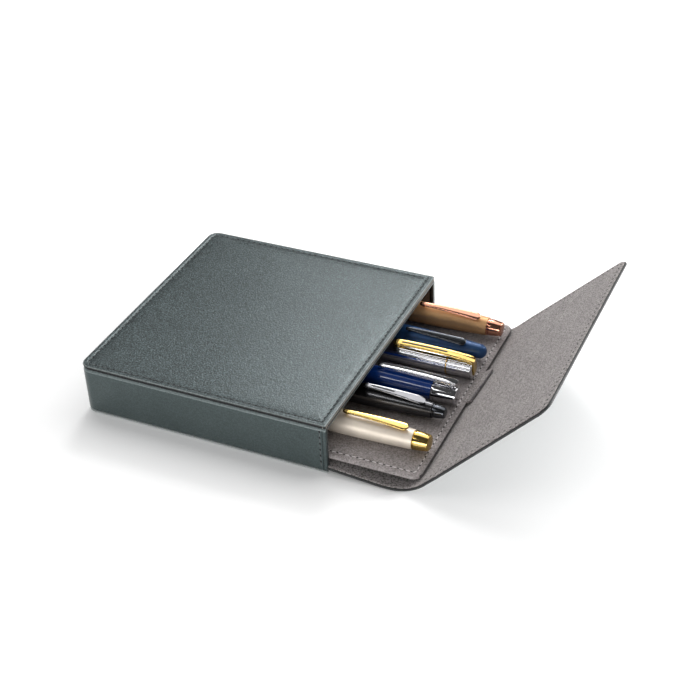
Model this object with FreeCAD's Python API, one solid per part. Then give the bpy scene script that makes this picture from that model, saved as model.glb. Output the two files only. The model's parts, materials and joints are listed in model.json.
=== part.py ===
"""Leather pen case: a five-sided sleeve with one open mouth, a tray that draws out of it with six
pens, and a long flap, hinged under the mouth, that wraps over the front and lies on the top.

Millimetres. +X points out of the mouth, +Y to the far side, +Z up. The origin is the middle of the
underside of the sleeve. The case is drawn as it stands open: tray out, flap down in front.
"""
import FreeCAD, Part
import math
import os
from FreeCAD import Vector

os.makedirs("parts", exist_ok=True)

# Sleeve
SLEEVE_LENGTH = 165.0        # along X, rear to mouth
SLEEVE_WIDTH = 170.0         # along Y
SLEEVE_HEIGHT = 35.0         # along Z
REAR_CORNER_RADIUS = 7.0     # upright rear corners
TOP_PANEL_LEATHER = 1.8
BOTTOM_PANEL_LEATHER = 1.4
PANEL_LIP = 0.4              # how far both panels stand proud of the side band
LIP_BEVEL = 0.45
BAND_LEATHER = 1.0
BAND_BEVEL = 0.6             # bevelled top and bottom edge of the side band
WALL_BOARD = 1.0
TOP_BOARD = 2.0
BOTTOM_BOARD = 1.4
WALL_LINING = 0.5
ROOF_LINING = 0.7
FLOOR_LINING = 0.7
BINDING_DEPTH = 0.8          # strip that closes the board ends round the mouth

# Flap
FLAP_LEATHER = 1.6
FLAP_LINING = 0.6
FLAP_MOUTH_GAP = 0.4         # between the mouth and the closed flap
FLAP_CLOSED_GAP = 2.4        # between the top panel and the fold of the closed flap
FLAP_CLOSED_TILT = 0.8       # degrees, slope of the closed panel down towards its tip
FLAP_FLOOR_GAP = 0.1
FLAP_FLOOR_RUN = 5.1         # flat stretch before the curve
FLAP_CURVE_RADIUS = 28.8     # on the lining side
FLAP_RISE = 45.5             # degrees, slope of the panel as the open case stands
FLAP_PANEL_LENGTH = 97.0
FLAP_TAPER_START = 12.0      # along the panel
FLAP_TAPER = 5.5             # per side, at the tip
FLAP_TIP_RADIUS = 8.0
FLAP_JOINT_GAP = 0.1         # between one stretch of the flap and the next
FLAP_BOARD = 0.9
FLAP_BOARD_MARGIN = 5.0
ANCHOR_LENGTH = 16.0         # tongue of the flap that is glued inside the mouth

# Bar magnets in the flap and their catch plates in the top board
MAGNET_LENGTH = 20.0         # along Y
MAGNET_WIDTH = 8.0
MAGNET_SPACING = 90.0
MAGNET_TIP_DISTANCE = 14.0
CATCH_MARGIN = 2.0           # the plate is this much larger than the magnet, all round
CATCH_THICKNESS = 1.0

# Tray
TRAY_OUT = 56.0              # how far the open tray stands out of the mouth
TRAY_TRAVEL = 65.0
TRAY_REAR_GAP = 1.1          # behind the closed tray
TRAY_SIDE_GAP = 0.3
TRAY_BOARD = 1.6
TRAY_LINING = 0.8
TRAY_CORNER_RADIUS = 6.0
TRAY_BOARD_MARGIN = 1.6      # suede turned round the edge of the board
TRAY_EDGE_BEVEL = 0.7
GLIDE_HEIGHT = 4.7
GLIDE_GAP = 0.3
GLIDE_WIDTH = 10.0
GLIDE_SPACING = 120.0
GLIDE_REAR_MARGIN = 4.0

# Pull tab
TAB_WIDTH = 33.0
TAB_CENTRE_Y = 11.0
TAB_THICKNESS = 1.6
TAB_REACH_NEAR = 2.6
TAB_REACH_FAR = 6.2
TAB_LEAN = 47.0              # degrees above level
TAB_GAP = 0.2
TAB_ROOT_DEPTH = 0.5         # root of the tab below the top of the tray

# Pens and the elastic loops that hold them
PEN_REST_GAP = 0.3
LOOP_GAP = 0.3
LOOP_THICKNESS = 0.8
LOOP_LENGTH = 10.0
LOOP_FOOT_GAP = 0.3          # between the feet of the two closest loops
LOOP_SIDES = 6               # flats of the strap where it goes over the barrel
LOOP_REAR_OFFSET = 45.0      # from the rear edge of the tray to the middle of the loops

QUARTER_TURN = 90.0
FULL_TURN = 360.0
SAME_HEIGHT = 1e-6           # edges nearer than this lie at one height

HALF_LENGTH = SLEEVE_LENGTH / 2
HALF_WIDTH = SLEEVE_WIDTH / 2
MOUTH_X = HALF_LENGTH
REAR_X = -HALF_LENGTH
BAND_INSET = PANEL_LIP + BAND_LEATHER
BOARD_INSET = BAND_INSET + WALL_BOARD
WALL_INSET = BOARD_INSET + WALL_LINING
BAND_BOTTOM = BOTTOM_PANEL_LEATHER
BAND_TOP = SLEEVE_HEIGHT - TOP_PANEL_LEATHER
FLOOR_BOARD_TOP = BOTTOM_PANEL_LEATHER + BOTTOM_BOARD
FLOOR_Z = FLOOR_BOARD_TOP + FLOOR_LINING
TOP_BOARD_Z = BAND_TOP - TOP_BOARD
ROOF_Z = TOP_BOARD_Z - ROOF_LINING
FLAP_THICKNESS = FLAP_LEATHER + FLAP_LINING
TRAY_THICKNESS = TRAY_BOARD + 2 * TRAY_LINING
TRAY_FRONT_X = MOUTH_X + TRAY_OUT
TRAY_REAR_X = REAR_X + WALL_INSET + TRAY_REAR_GAP + TRAY_TRAVEL
TRAY_HALF_WIDTH = HALF_WIDTH - WALL_INSET - TRAY_SIDE_GAP
TRAY_BOTTOM = FLOOR_Z + GLIDE_GAP + GLIDE_HEIGHT
TRAY_TOP = TRAY_BOTTOM + TRAY_THICKNESS


def save(name, shape):
    shape.exportStep("parts/" + name + ".step")


def box(x0, x1, y0, y1, z0, z1):
    return Part.makeBox(x1 - x0, y1 - y0, z1 - z0, Vector(x0, y0, z0))


def cylinder(radius, height, x, y, z):
    return Part.makeCylinder(radius, height, Vector(x, y, z))


def prism(edges, direction):
    """Solid from a closed flat outline, pushed along direction."""
    return Part.Face(Part.Wire(edges)).extrude(direction)


def line(a, b):
    return Part.LineSegment(a, b).toShape()


def arc(a, middle, b):
    return Part.Arc(a, middle, b).toShape()


def sleeve_outline(inset, z):
    """Plan of the sleeve, drawn in by inset: square at the mouth, rounded at the two rear corners."""
    x0 = REAR_X + inset
    x1 = MOUTH_X
    y = HALF_WIDTH - inset
    r = REAR_CORNER_RADIUS - inset
    s = r * (1 - math.sqrt(0.5))
    return [
        line(Vector(x1, -y, z), Vector(x1, y, z)),
        line(Vector(x1, y, z), Vector(x0 + r, y, z)),
        arc(Vector(x0 + r, y, z), Vector(x0 + s, y - s, z), Vector(x0, y - r, z)),
        line(Vector(x0, y - r, z), Vector(x0, -y + r, z)),
        arc(Vector(x0, -y + r, z), Vector(x0 + s, -y + s, z), Vector(x0 + r, -y, z)),
        line(Vector(x0 + r, -y, z), Vector(x1, -y, z)),
    ]


def sleeve_slab(inset, z0, z1):
    return prism(sleeve_outline(inset, z0), Vector(0, 0, z1 - z0))


def bevel_rim(solid, z, size):
    """Bevel the edges of a slab that lie at height z."""
    edges = [e for e in solid.Edges if all(abs(v.Z - z) < SAME_HEIGHT for v in e.Vertexes)]
    return solid.makeChamfer(size, edges)


def sleeve_ring(outer, inner, z0, z1):
    """Upright U-shaped strip between two insets, open at the mouth."""
    return sleeve_slab(outer, z0, z1).cut(sleeve_slab(inner, z0, z1))


def sleeve_panels():
    bottom = sleeve_slab(0, 0, BOTTOM_PANEL_LEATHER)
    save("bottom_panel_leather", bevel_rim(bottom, BOTTOM_PANEL_LEATHER, LIP_BEVEL))
    top = bevel_rim(sleeve_slab(0, BAND_TOP, SLEEVE_HEIGHT), SLEEVE_HEIGHT, LIP_BEVEL)
    save("top_panel_leather", top)


def side_band():
    band = sleeve_slab(PANEL_LIP, BAND_BOTTOM, BAND_TOP)
    band = bevel_rim(band, BAND_TOP, BAND_BEVEL)
    band = bevel_rim(band, BAND_BOTTOM, BAND_BEVEL)
    save("side_band_leather", band.cut(sleeve_slab(BAND_INSET, BAND_BOTTOM, BAND_TOP)))


def sleeve_boards():
    save("bottom_board", sleeve_slab(BAND_INSET, BAND_BOTTOM, FLOOR_BOARD_TOP))
    top = sleeve_slab(BAND_INSET, TOP_BOARD_Z, BAND_TOP)
    save("top_board", top.cut(catch_plates()))
    ring = sleeve_ring(BAND_INSET, BOARD_INSET, FLOOR_BOARD_TOP, TOP_BOARD_Z)
    corner_x = REAR_X + REAR_CORNER_RADIUS
    corner_y = HALF_WIDTH - REAR_CORNER_RADIUS
    front = MOUTH_X - BINDING_DEPTH
    z0 = FLOOR_BOARD_TOP
    z1 = TOP_BOARD_Z
    near = box(corner_x, front, -HALF_WIDTH, 0, z0, z1)
    far = box(corner_x, front, 0, HALF_WIDTH, z0, z1)
    rear = box(REAR_X, corner_x, -corner_y, corner_y, z0, z1)
    save("near_wall_board", ring.common(near))
    save("far_wall_board", ring.common(far))
    save("rear_wall_board", ring.common(rear))
    corners = box(REAR_X, corner_x, -HALF_WIDTH, HALF_WIDTH, z0, z1)
    save("rear_corner_strips", ring.common(corners.cut(rear)))


def sleeve_linings():
    """Suede on the roof, the walls and the floor. The floor's ends at the tongue of the flap."""
    front = MOUTH_X - BINDING_DEPTH
    anchor_x = MOUTH_X - ANCHOR_LENGTH
    roof = sleeve_slab(BOARD_INSET, ROOF_Z, TOP_BOARD_Z)
    save("roof_lining", roof.common(box(REAR_X, front, -HALF_WIDTH, HALF_WIDTH, ROOF_Z, TOP_BOARD_Z)))
    floor = sleeve_slab(BOARD_INSET, FLOOR_BOARD_TOP, FLOOR_Z)
    floor = floor.common(box(REAR_X, anchor_x, -HALF_WIDTH, HALF_WIDTH, FLOOR_BOARD_TOP, FLOOR_Z))
    save("floor_lining", floor)
    walls = sleeve_ring(BOARD_INSET, WALL_INSET, FLOOR_Z, ROOF_Z)
    save("wall_lining", walls.common(box(REAR_X, front, -HALF_WIDTH, HALF_WIDTH, FLOOR_Z, ROOF_Z)))


def mouth_binding():
    """Leather strip over the ends of the boards: across the top of the mouth and down both sides."""
    x0 = MOUTH_X - BINDING_DEPTH
    root = FLOOR_BOARD_TOP + FLAP_THICKNESS
    y_out = HALF_WIDTH - BAND_INSET
    y_in = HALF_WIDTH - WALL_INSET
    frame = box(x0, MOUTH_X, -y_out, y_out, root, TOP_BOARD_Z)
    frame = frame.cut(box(x0, MOUTH_X, -y_in, y_in, root, ROOF_Z))
    save("mouth_binding", frame)


def catch_plates():
    """Steel plates let into the top board, under the magnets of the closed flap."""
    x = closed_magnet_x()
    half_x = MAGNET_WIDTH / 2 + CATCH_MARGIN
    half_y = MAGNET_LENGTH / 2 + CATCH_MARGIN
    plates = []
    for side in (-1, 1):
        y = side * MAGNET_SPACING / 2
        plates.append(box(x - half_x, x + half_x, y - half_y, y + half_y, BAND_TOP - CATCH_THICKNESS, BAND_TOP))
    return Part.makeCompound(plates)


def flap_anchor():
    """Tongue of the flap: it is glued on the bottom board, and the tray's glides stop against it."""
    y = HALF_WIDTH - BAND_INSET
    x0 = MOUTH_X - ANCHOR_LENGTH
    inner = HALF_WIDTH - BOARD_INSET
    z1 = FLOOR_BOARD_TOP + FLAP_THICKNESS
    tongue = box(x0, MOUTH_X, -inner, inner, FLOOR_BOARD_TOP, z1)
    front = box(MOUTH_X - BINDING_DEPTH, MOUTH_X, -y, y, FLOOR_BOARD_TOP, z1)
    wall = box(x0, MOUTH_X - BINDING_DEPTH, -inner, inner, FLOOR_Z, z1)
    wall = wall.cut(box(x0, MOUTH_X, -inner + WALL_LINING, inner - WALL_LINING, FLOOR_Z, z1))
    save("flap_anchor_tongue", tongue.cut(wall).fuse(front).removeSplitter())


# Line of the flap in section, on its lining side: root, straight front, short flat run, curve, panel.
# The front turns at its root, the curve at the fold, and the panel about the middle of the curve.
RISE = math.radians(FLAP_RISE)
ROOT = Vector(MOUTH_X + FLAP_MOUTH_GAP, 0, FLOOR_BOARD_TOP + FLAP_THICKNESS)
FRONT_LENGTH = SLEEVE_HEIGHT + FLAP_CLOSED_GAP - ROOT.z
FRONT_DROP = math.asin((ROOT.z - FLAP_THICKNESS - FLAP_FLOOR_GAP) / FRONT_LENGTH)
FOLD = ROOT + Vector(FRONT_LENGTH * math.cos(FRONT_DROP), 0, -FRONT_LENGTH * math.sin(FRONT_DROP))
CURVE_START = FOLD + Vector(FLAP_FLOOR_RUN, 0, 0)
CURVE_CENTRE = CURVE_START + Vector(0, 0, FLAP_CURVE_RADIUS)


def curve_point(angle, depth):
    """Point of the curve, depth below the lining side."""
    r = FLAP_CURVE_RADIUS + depth
    return CURVE_CENTRE + Vector(r * math.sin(angle), 0, -r * math.cos(angle))


def panel_point(distance, depth):
    """Point of the straight panel, at a distance from the end of the curve."""
    along = Vector(math.cos(RISE), 0, math.sin(RISE))
    return curve_point(RISE, depth) + along * distance


CURVE_HINGE = curve_point(RISE / 2, 0)
PANEL_MAGNET = FLAP_PANEL_LENGTH - MAGNET_TIP_DISTANCE


def closed_magnet_x():
    """Where the magnets come to lie on the top: the fold is at the front, and the rest runs back."""
    tilt = math.radians(FLAP_CLOSED_TILT)
    to_hinge = FLAP_FLOOR_RUN + FLAP_CURVE_RADIUS * math.sin(RISE / 2)
    to_panel = 2 * FLAP_CURVE_RADIUS * math.sin(RISE / 4) * math.cos(RISE / 4 - tilt)
    return ROOT.x - to_hinge - to_panel - PANEL_MAGNET * math.cos(tilt)


def swept_width(outline, half_width):
    """Solid of full flap width from an outline in the plane of the section."""
    start = [Vector(p.x, -half_width, p.z) for p in outline]
    edges = [line(a, b) for a, b in zip(start, start[1:] + start[:1])]
    return prism(edges, Vector(0, 2 * half_width, 0))


def front_stretch(depth0, depth1):
    """Slanting stretch that closes the mouth, from the root to the fold."""
    along = Vector(math.cos(FRONT_DROP), 0, -math.sin(FRONT_DROP))
    down = Vector(-math.sin(FRONT_DROP), 0, -math.cos(FRONT_DROP))
    start = ROOT + along * FLAP_JOINT_GAP
    end = FOLD - along * FLAP_JOINT_GAP
    corners = [start + down * depth0, end + down * depth0, end + down * depth1, start + down * depth1]
    return swept_width(corners, HALF_WIDTH)


def curve_stretch(depth0, depth1):
    """Bent stretch from the fold to the panel: a short flat run, then the curve."""
    end = RISE - FLAP_JOINT_GAP / FLAP_CURVE_RADIUS
    y = Vector(0, -HALF_WIDTH, 0)
    back = Vector(FLAP_JOINT_GAP - FLAP_FLOOR_RUN, 0, 0)
    a0 = curve_point(0, depth0) + y
    a1 = curve_point(end, depth0) + y
    b0 = curve_point(0, depth1) + y
    b1 = curve_point(end, depth1) + y
    edges = [arc(a0, curve_point(end / 2, depth0) + y, a1), line(a1, b1)]
    edges += [arc(b1, curve_point(end / 2, depth1) + y, b0), line(b0, b0 + back)]
    edges += [line(b0 + back, a0 + back), line(a0 + back, a0)]
    return prism(edges, Vector(0, 2 * HALF_WIDTH, 0))


def panel_outline(margin):
    """Plan of the straight panel laid flat: x along the panel, y across, drawn in by margin."""
    half = HALF_WIDTH - margin
    tip = FLAP_PANEL_LENGTH - margin
    r = FLAP_TIP_RADIUS - margin / 2
    slope = math.atan2(FLAP_TAPER, FLAP_PANEL_LENGTH - FLAP_TAPER_START)
    half_tip = half - FLAP_TAPER
    corner = r * math.tan((math.pi / 2 - slope) / 2)
    side = Vector(tip - corner * math.cos(slope), half_tip + corner * math.sin(slope), 0)
    top = Vector(tip, half_tip - corner, 0)
    centre = Vector(tip - r, top.y, 0)
    turn = (math.pi / 2 - slope) / 2
    middle = centre + Vector(r * math.cos(turn), r * math.sin(turn), 0)
    shoulder = Vector(FLAP_TAPER_START, half, 0)
    points = [Vector(margin, half, 0), shoulder, side, middle, top]
    low = [Vector(p.x, -p.y, 0) for p in points]
    edges = [line(points[0], points[1]), line(points[1], points[2])]
    edges += [arc(points[2], points[3], points[4]), line(points[4], low[4])]
    edges += [arc(low[4], low[3], low[2]), line(low[2], low[1]), line(low[1], low[0])]
    edges.append(line(low[0], points[0]))
    return edges


def panel_slab(margin, depth0, depth1):
    """Flat piece of the panel, put at its slope."""
    slab = prism(panel_outline(margin), Vector(0, 0, depth0 - depth1))
    slab.translate(Vector(0, 0, -depth0))
    slab.rotate(Vector(0, 0, 0), Vector(0, 1, 0), -FLAP_RISE)
    slab.translate(panel_point(0, 0))
    return slab


def magnet_bars(depth0, depth1):
    bars = []
    x0 = PANEL_MAGNET - MAGNET_WIDTH / 2
    for side in (-1, 1):
        y0 = side * MAGNET_SPACING / 2 - MAGNET_LENGTH / 2
        bar = box(x0, x0 + MAGNET_WIDTH, y0, y0 + MAGNET_LENGTH, -depth1, -depth0)
        bar.rotate(Vector(0, 0, 0), Vector(0, 1, 0), -FLAP_RISE)
        bar.translate(panel_point(0, 0))
        bars.append(bar)
    return Part.makeCompound(bars)


def flap():
    """Leather outside, suede inside, and a stiff board with two magnets inside the panel only."""
    lining = (0, FLAP_LINING)
    leather = (FLAP_LINING, FLAP_THICKNESS)
    board = panel_slab(FLAP_BOARD_MARGIN, FLAP_LINING, FLAP_LINING + FLAP_BOARD)
    for name, depths in (("lining", lining), ("leather", leather)):
        save("flap_front_" + name, front_stretch(*depths))
        save("flap_curve_" + name, curve_stretch(*depths))
    save("flap_panel_lining", panel_slab(0, *lining))
    save("flap_panel_leather", panel_slab(0, *leather).cut(board))
    magnets = magnet_bars(FLAP_LINING, FLAP_LINING + FLAP_BOARD)
    save("flap_board", board.cut(magnets))
    save("flap_magnets", magnets)


def tray_outline(margin, z):
    """Plan of the tray, drawn in by margin, with four rounded corners."""
    x0 = TRAY_REAR_X + margin
    x1 = TRAY_FRONT_X - margin
    y = TRAY_HALF_WIDTH - margin
    r = TRAY_CORNER_RADIUS - margin
    s = r * (1 - math.sqrt(0.5))
    edges = []
    for sx, sy in ((1, -1), (1, 1), (-1, 1), (-1, -1)):
        x = x1 if sx > 0 else x0
        corner = Vector(x - sx * s, sy * (y - s), z)
        on_side = Vector(x - sx * r, sy * y, z)
        on_end = Vector(x, sy * (y - r), z)
        ends = (on_side, on_end) if sx * sy < 0 else (on_end, on_side)
        edges.append(arc(ends[0], corner, ends[1]))
    rails = []
    for edge, after in zip(edges, edges[1:] + edges[:1]):
        rails += [edge, line(edge.Vertexes[-1].Point, after.Vertexes[0].Point)]
    return rails


def tray_slab(margin, z0, z1):
    return prism(tray_outline(margin, z0), Vector(0, 0, z1 - z0))


def tray():
    """Board with a suede sheet above and one below. Both are turned round its edge and meet there."""
    middle = TRAY_BOTTOM + TRAY_THICKNESS / 2
    board = tray_slab(TRAY_BOARD_MARGIN, TRAY_BOTTOM + TRAY_LINING, TRAY_TOP - TRAY_LINING)
    save("tray_board", board)
    upper = bevel_rim(tray_slab(0, middle, TRAY_TOP), TRAY_TOP, TRAY_EDGE_BEVEL)
    lower = bevel_rim(tray_slab(0, TRAY_BOTTOM, middle), TRAY_BOTTOM, TRAY_EDGE_BEVEL)
    save("tray_top_lining", upper.cut(board))
    save("tray_bottom_lining", lower.cut(board))
    x0 = TRAY_REAR_X + GLIDE_REAR_MARGIN
    x1 = MOUTH_X - ANCHOR_LENGTH - GLIDE_GAP
    z0 = TRAY_BOTTOM - GLIDE_HEIGHT
    strips = []
    for side in (-1, 1):
        y = side * GLIDE_SPACING / 2
        strips.append(box(x0, x1, y - GLIDE_WIDTH / 2, y + GLIDE_WIDTH / 2, z0, TRAY_BOTTOM))
    save("tray_glides", Part.makeCompound(strips))


def tab_root():
    """Middle of the tab's root line, which is also the line that it bends about."""
    lean = math.radians(TAB_LEAN)
    back = TAB_THICKNESS / 2 * math.sin(lean)
    return Vector(TRAY_FRONT_X + TAB_GAP + back, TAB_CENTRE_Y, TRAY_TOP - TAB_ROOT_DEPTH)


def pull_tab():
    """Suede tongue at the front edge of the tray. It leans up, and stands out more at one end."""
    y0 = -TAB_WIDTH / 2
    y1 = TAB_WIDTH / 2
    tip = TAB_REACH_FAR
    r = TAB_REACH_FAR / 2
    corner = r * (1 - math.sqrt(0.5))
    turn = [Vector(tip, y1 - r, 0), Vector(tip - corner, y1 - corner, 0), Vector(tip - r, y1, 0)]
    edges = [
        line(Vector(0, y0, 0), Vector(TAB_REACH_NEAR, y0, 0)),
        line(Vector(TAB_REACH_NEAR, y0, 0), turn[0]),
        arc(*turn),
        line(turn[2], Vector(0, y1, 0)),
        line(Vector(0, y1, 0), Vector(0, y0, 0)),
    ]
    tab = prism(edges, Vector(0, 0, TAB_THICKNESS))
    tab.translate(Vector(0, 0, -TAB_THICKNESS / 2))
    tab.rotate(Vector(0, 0, 0), Vector(0, 1, 0), -TAB_LEAN)
    tab.translate(tab_root())
    save("pull_tab", tab)


# Pens lie along X with their caps outwards. Lengths run back from the end of the cap.
PEN_LENGTH = 138.0
CAP_LENGTH = 62.0
CAP_MOUTH_STEP = 0.7         # the barrel is this much slimmer than the mouth of the cap
CAP_TAPER_LENGTH = 6.0       # end of the cap that narrows
TAIL_BEVEL = 1.2
DOME_BEVEL = 2.2             # bevelled end of a cap that has no finial
CLIP_THICKNESS = 1.1
CLIP_ARCH = 0.55             # rise of the blade's middle above its higher end
CLIP_STUD_LENGTH = 3.0
CLIP_STUD_WIDTH = 2.4
CLIP_STUD_SETBACK = 1.2      # from the root end of the blade to its stud
CLIP_BUMP_SETBACK = 1.2      # from the tip of the blade to the bump under it
CLIP_BUMP_LENGTH = 2.6
CLIP_BUMP_GAP = 0.3          # between the bump under the tip and the cap
CLIP_SLOT_WIDTH = 0.9
CLIP_SLOT_START = 6.0        # from the tip of the blade
CLIP_BAND_DEPTH = 4.4        # how far a band reaches below the axis at the end of the cap
CLIP_ROOT_LAP = 0.5
CLIP_LONG_SLOT = 30.0
CLIP_SHORT_SLOT = 15.0


class Pen:
    """One pen: its place on the tray and the sizes of its cap, finial and clip.

    place is the share of the way from the middle of the tray to its far edge, or to its near edge if
    it is below zero.
    """

    def __init__(self, name, place, setback, mouth_radius, end_radius, finial, clip):
        self.name = name
        self.y = place * TRAY_HALF_WIDTH
        self.end = TRAY_FRONT_X - setback
        self.mouth_radius = mouth_radius
        self.end_radius = end_radius
        self.finial_length, self.finial_radius = finial
        self.clip = clip

    def axis_z(self):
        return TRAY_TOP + PEN_REST_GAP + self.mouth_radius

    def laid(self, shape):
        shape.translate(Vector(self.end, self.y, self.axis_z()))
        return shape

    def barrel_radius(self):
        return self.mouth_radius - CAP_MOUTH_STEP

    def strap_radius(self):
        return self.barrel_radius() + LOOP_GAP + LOOP_THICKNESS


def turned(points):
    """Solid turned about the pen's axis from points of x and radius."""
    corners = [Vector(x, 0, radius) for x, radius in points]
    edges = [line(a, b) for a, b in zip(corners, corners[1:] + corners[:1])]
    return Part.Face(Part.Wire(edges)).revolve(Vector(0, 0, 0), Vector(1, 0, 0), FULL_TURN)


def cap(pen):
    """Cap: straight from its mouth, then narrowing to the finial or to a bevelled end."""
    mouth = -CAP_LENGTH
    end = -pen.finial_length
    radius = pen.mouth_radius
    points = [(mouth, 0), (mouth, radius), (end - CAP_TAPER_LENGTH, radius)]
    if pen.finial_length:
        return turned(points + [(end, pen.end_radius), (end, 0)])
    bevel_radius = pen.end_radius - DOME_BEVEL
    return turned(points + [(-DOME_BEVEL, pen.end_radius), (0, bevel_radius), (0, 0)])


def barrel(pen):
    """Barrel from the mouth of the cap back to its bevelled tail."""
    tail = -PEN_LENGTH
    radius = pen.barrel_radius()
    points = [(-CAP_LENGTH, 0), (-CAP_LENGTH, radius), (tail + TAIL_BEVEL, radius)]
    return turned(points + [(tail, radius - TAIL_BEVEL), (tail, 0)])


def finial(pen):
    """Metal end piece, slimmer than the end of the cap."""
    start = -pen.finial_length
    return turned([(start, 0), (start, pen.finial_radius), (0, pen.finial_radius), (0, 0)])


class Clip:
    """Sprung clip over the cap. Lifts are heights of its underside above the pen's axis."""

    def __init__(self, start, length, width, lift, tip_lift, turn, root="round", slot=0.0):
        self.root_x = -start
        self.tip_x = -start - length
        self.width = width
        self.lift = lift
        self.tip_lift = tip_lift
        self.turn = turn
        self.root = root
        self.slot = slot


def clip_blade(clip):
    """Side view of the blade pushed to its width: two long flats with a shallow bend between them."""
    middle_x = (clip.tip_x + clip.root_x) / 2
    middle_z = max(clip.lift, clip.tip_lift) + CLIP_ARCH
    y = -clip.width / 2
    low = [Vector(clip.tip_x, y, clip.tip_lift), Vector(middle_x, y, middle_z), Vector(clip.root_x, y, clip.lift)]
    up = Vector(0, 0, CLIP_THICKNESS)
    corners = low + [p + up for p in reversed(low)]
    edges = [line(a, b) for a, b in zip(corners, corners[1:] + corners[:1])]
    return prism(edges, Vector(0, clip.width, 0))


def clip_plan(clip):
    """Tall prism with the blade's outline from above: rounded tip, and a rounded or square root."""
    r = clip.width / 2
    tall = clip.tip_lift + clip.lift
    root = clip.root_x - r if clip.root == "round" else clip.root_x
    plan = box(clip.tip_x + r, root, -r, r, 0, tall).fuse(cylinder(r, tall, clip.tip_x + r, 0, 0))
    if clip.root == "round":
        plan = plan.fuse(cylinder(r, tall, root, 0, 0))
    return plan


def clip_root(clip):
    """What holds the blade: a stud in the cap, or a band that turns down over the cap's end."""
    if clip.root != "band":
        x1 = clip.root_x - CLIP_STUD_SETBACK
        half = CLIP_STUD_WIDTH / 2
        return box(x1 - CLIP_STUD_LENGTH, x1, -half, half, 0, clip.lift + CLIP_THICKNESS / 2)
    half = clip.width / 2
    top = clip.lift + CLIP_THICKNESS
    lap = clip.root_x - CLIP_ROOT_LAP
    band = box(lap, CLIP_THICKNESS, -half, half, -CLIP_BAND_DEPTH, top)
    return band.cut(box(lap, 0, -half, half, -CLIP_BAND_DEPTH, clip.lift))


def clip_solid(pen, neighbours):
    """Whole clip, cut where it meets the cap and the finial, and turned about the pen's axis."""
    clip = pen.clip
    blade = clip_blade(clip).common(clip_plan(clip))
    if clip.slot:
        x0 = clip.tip_x + CLIP_SLOT_START
        half = CLIP_SLOT_WIDTH / 2
        blade = blade.cut(box(x0, x0 + clip.slot, -half, half, 0, clip.lift + clip.tip_lift))
    x0 = clip.tip_x + CLIP_BUMP_SETBACK
    half = CLIP_STUD_WIDTH / 2
    z0 = pen.mouth_radius + CLIP_BUMP_GAP
    bump = box(x0, x0 + CLIP_BUMP_LENGTH, -half, half, z0, clip.tip_lift + CLIP_THICKNESS / 2)
    solid = blade.fuse([clip_root(clip), bump])
    for neighbour in neighbours:
        solid = solid.cut(neighbour)
    solid = solid.removeSplitter()
    solid.rotate(Vector(0, 0, 0), Vector(1, 0, 0), -clip.turn)
    return solid


def pens():
    """Six pens of one build and different trim, in the order in which they lie, far to near."""
    copper_clip = Clip(14.0, 41.0, 5.2, 8.0, 9.2, -20.0)
    blue_clip = Clip(12.5, 40.0, 4.8, 7.0, 8.6, -26.0)
    ribbed_clip = Clip(0.6, 52.0, 5.4, 8.4, 9.0, -14.0, root="band", slot=CLIP_LONG_SLOT)
    navy_clip = Clip(1.0, 51.0, 5.8, 8.6, 9.2, 8.0, root="square", slot=CLIP_LONG_SLOT)
    gunmetal_clip = Clip(12.5, 40.0, 5.4, 6.2, 8.4, -12.0, slot=CLIP_SHORT_SLOT)
    champagne_clip = Clip(13.0, 41.0, 5.6, 8.0, 8.8, -5.0)
    return [
        Pen("copper_pen", 0.790, 2.0, 7.0, 6.2, (9.7, 4.9), copper_clip),
        Pen("blue_pen", 0.460, 3.0, 6.6, 4.9, (0.0, 0.0), blue_clip),
        Pen("ribbed_pen", 0.226, 4.1, 6.8, 6.2, (1.0, 6.0), ribbed_clip),
        Pen("navy_pen", -0.136, 3.5, 7.0, 6.3, (16.0, 5.9), navy_clip),
        Pen("gunmetal_pen", -0.355, 4.5, 6.6, 4.6, (8.0, 3.9), gunmetal_clip),
        Pen("champagne_pen", -0.720, 2.5, 7.0, 6.3, (9.8, 4.9), champagne_clip),
    ]


def strap_section(radius, foot, z0):
    """Section of a strap over a barrel: feet at z0, legs up to the axis, then flats round the radius."""
    z1 = z0 + LOOP_THICKNESS
    reach = radius + foot
    corner = radius / math.cos(math.pi / (2 * LOOP_SIDES))
    left = [Vector(0, -reach, z0), Vector(0, -reach, z1)] if foot else [Vector(0, -radius, z0)]
    left += [Vector(0, -radius, z1), Vector(0, -radius, 0)]
    top = []
    for side in range(LOOP_SIDES):
        angle = math.pi * (side + 0.5) / LOOP_SIDES
        top.append(Vector(0, -corner * math.cos(angle), corner * math.sin(angle)))
    right = [Vector(0, -p.y, p.z) for p in reversed(left)]
    return left + top + right


def loop_foot(row):
    """Length of the straps' feet, as far as the two closest pens leave room for them."""
    gaps = [a.y - b.y - a.strap_radius() - b.strap_radius() for a, b in zip(row, row[1:])]
    return (min(gaps) - LOOP_FOOT_GAP) / 2


def pen_loop(pen, foot):
    """Elastic strap over the barrel, stitched to the tray by a foot on each side."""
    x0 = TRAY_REAR_X + LOOP_REAR_OFFSET - LOOP_LENGTH / 2
    drop = TRAY_TOP - pen.axis_z()
    outline = strap_section(pen.strap_radius(), foot, drop)
    hole = strap_section(pen.strap_radius() - LOOP_THICKNESS, 0, drop)
    solids = []
    for points in (outline, hole):
        edges = [line(a, b) for a, b in zip(points, points[1:] + points[:1])]
        solids.append(prism(edges, Vector(LOOP_LENGTH, 0, 0)))
    loop = solids[0].cut(solids[1])
    loop.translate(Vector(x0, pen.y, pen.axis_z()))
    return loop


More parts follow.
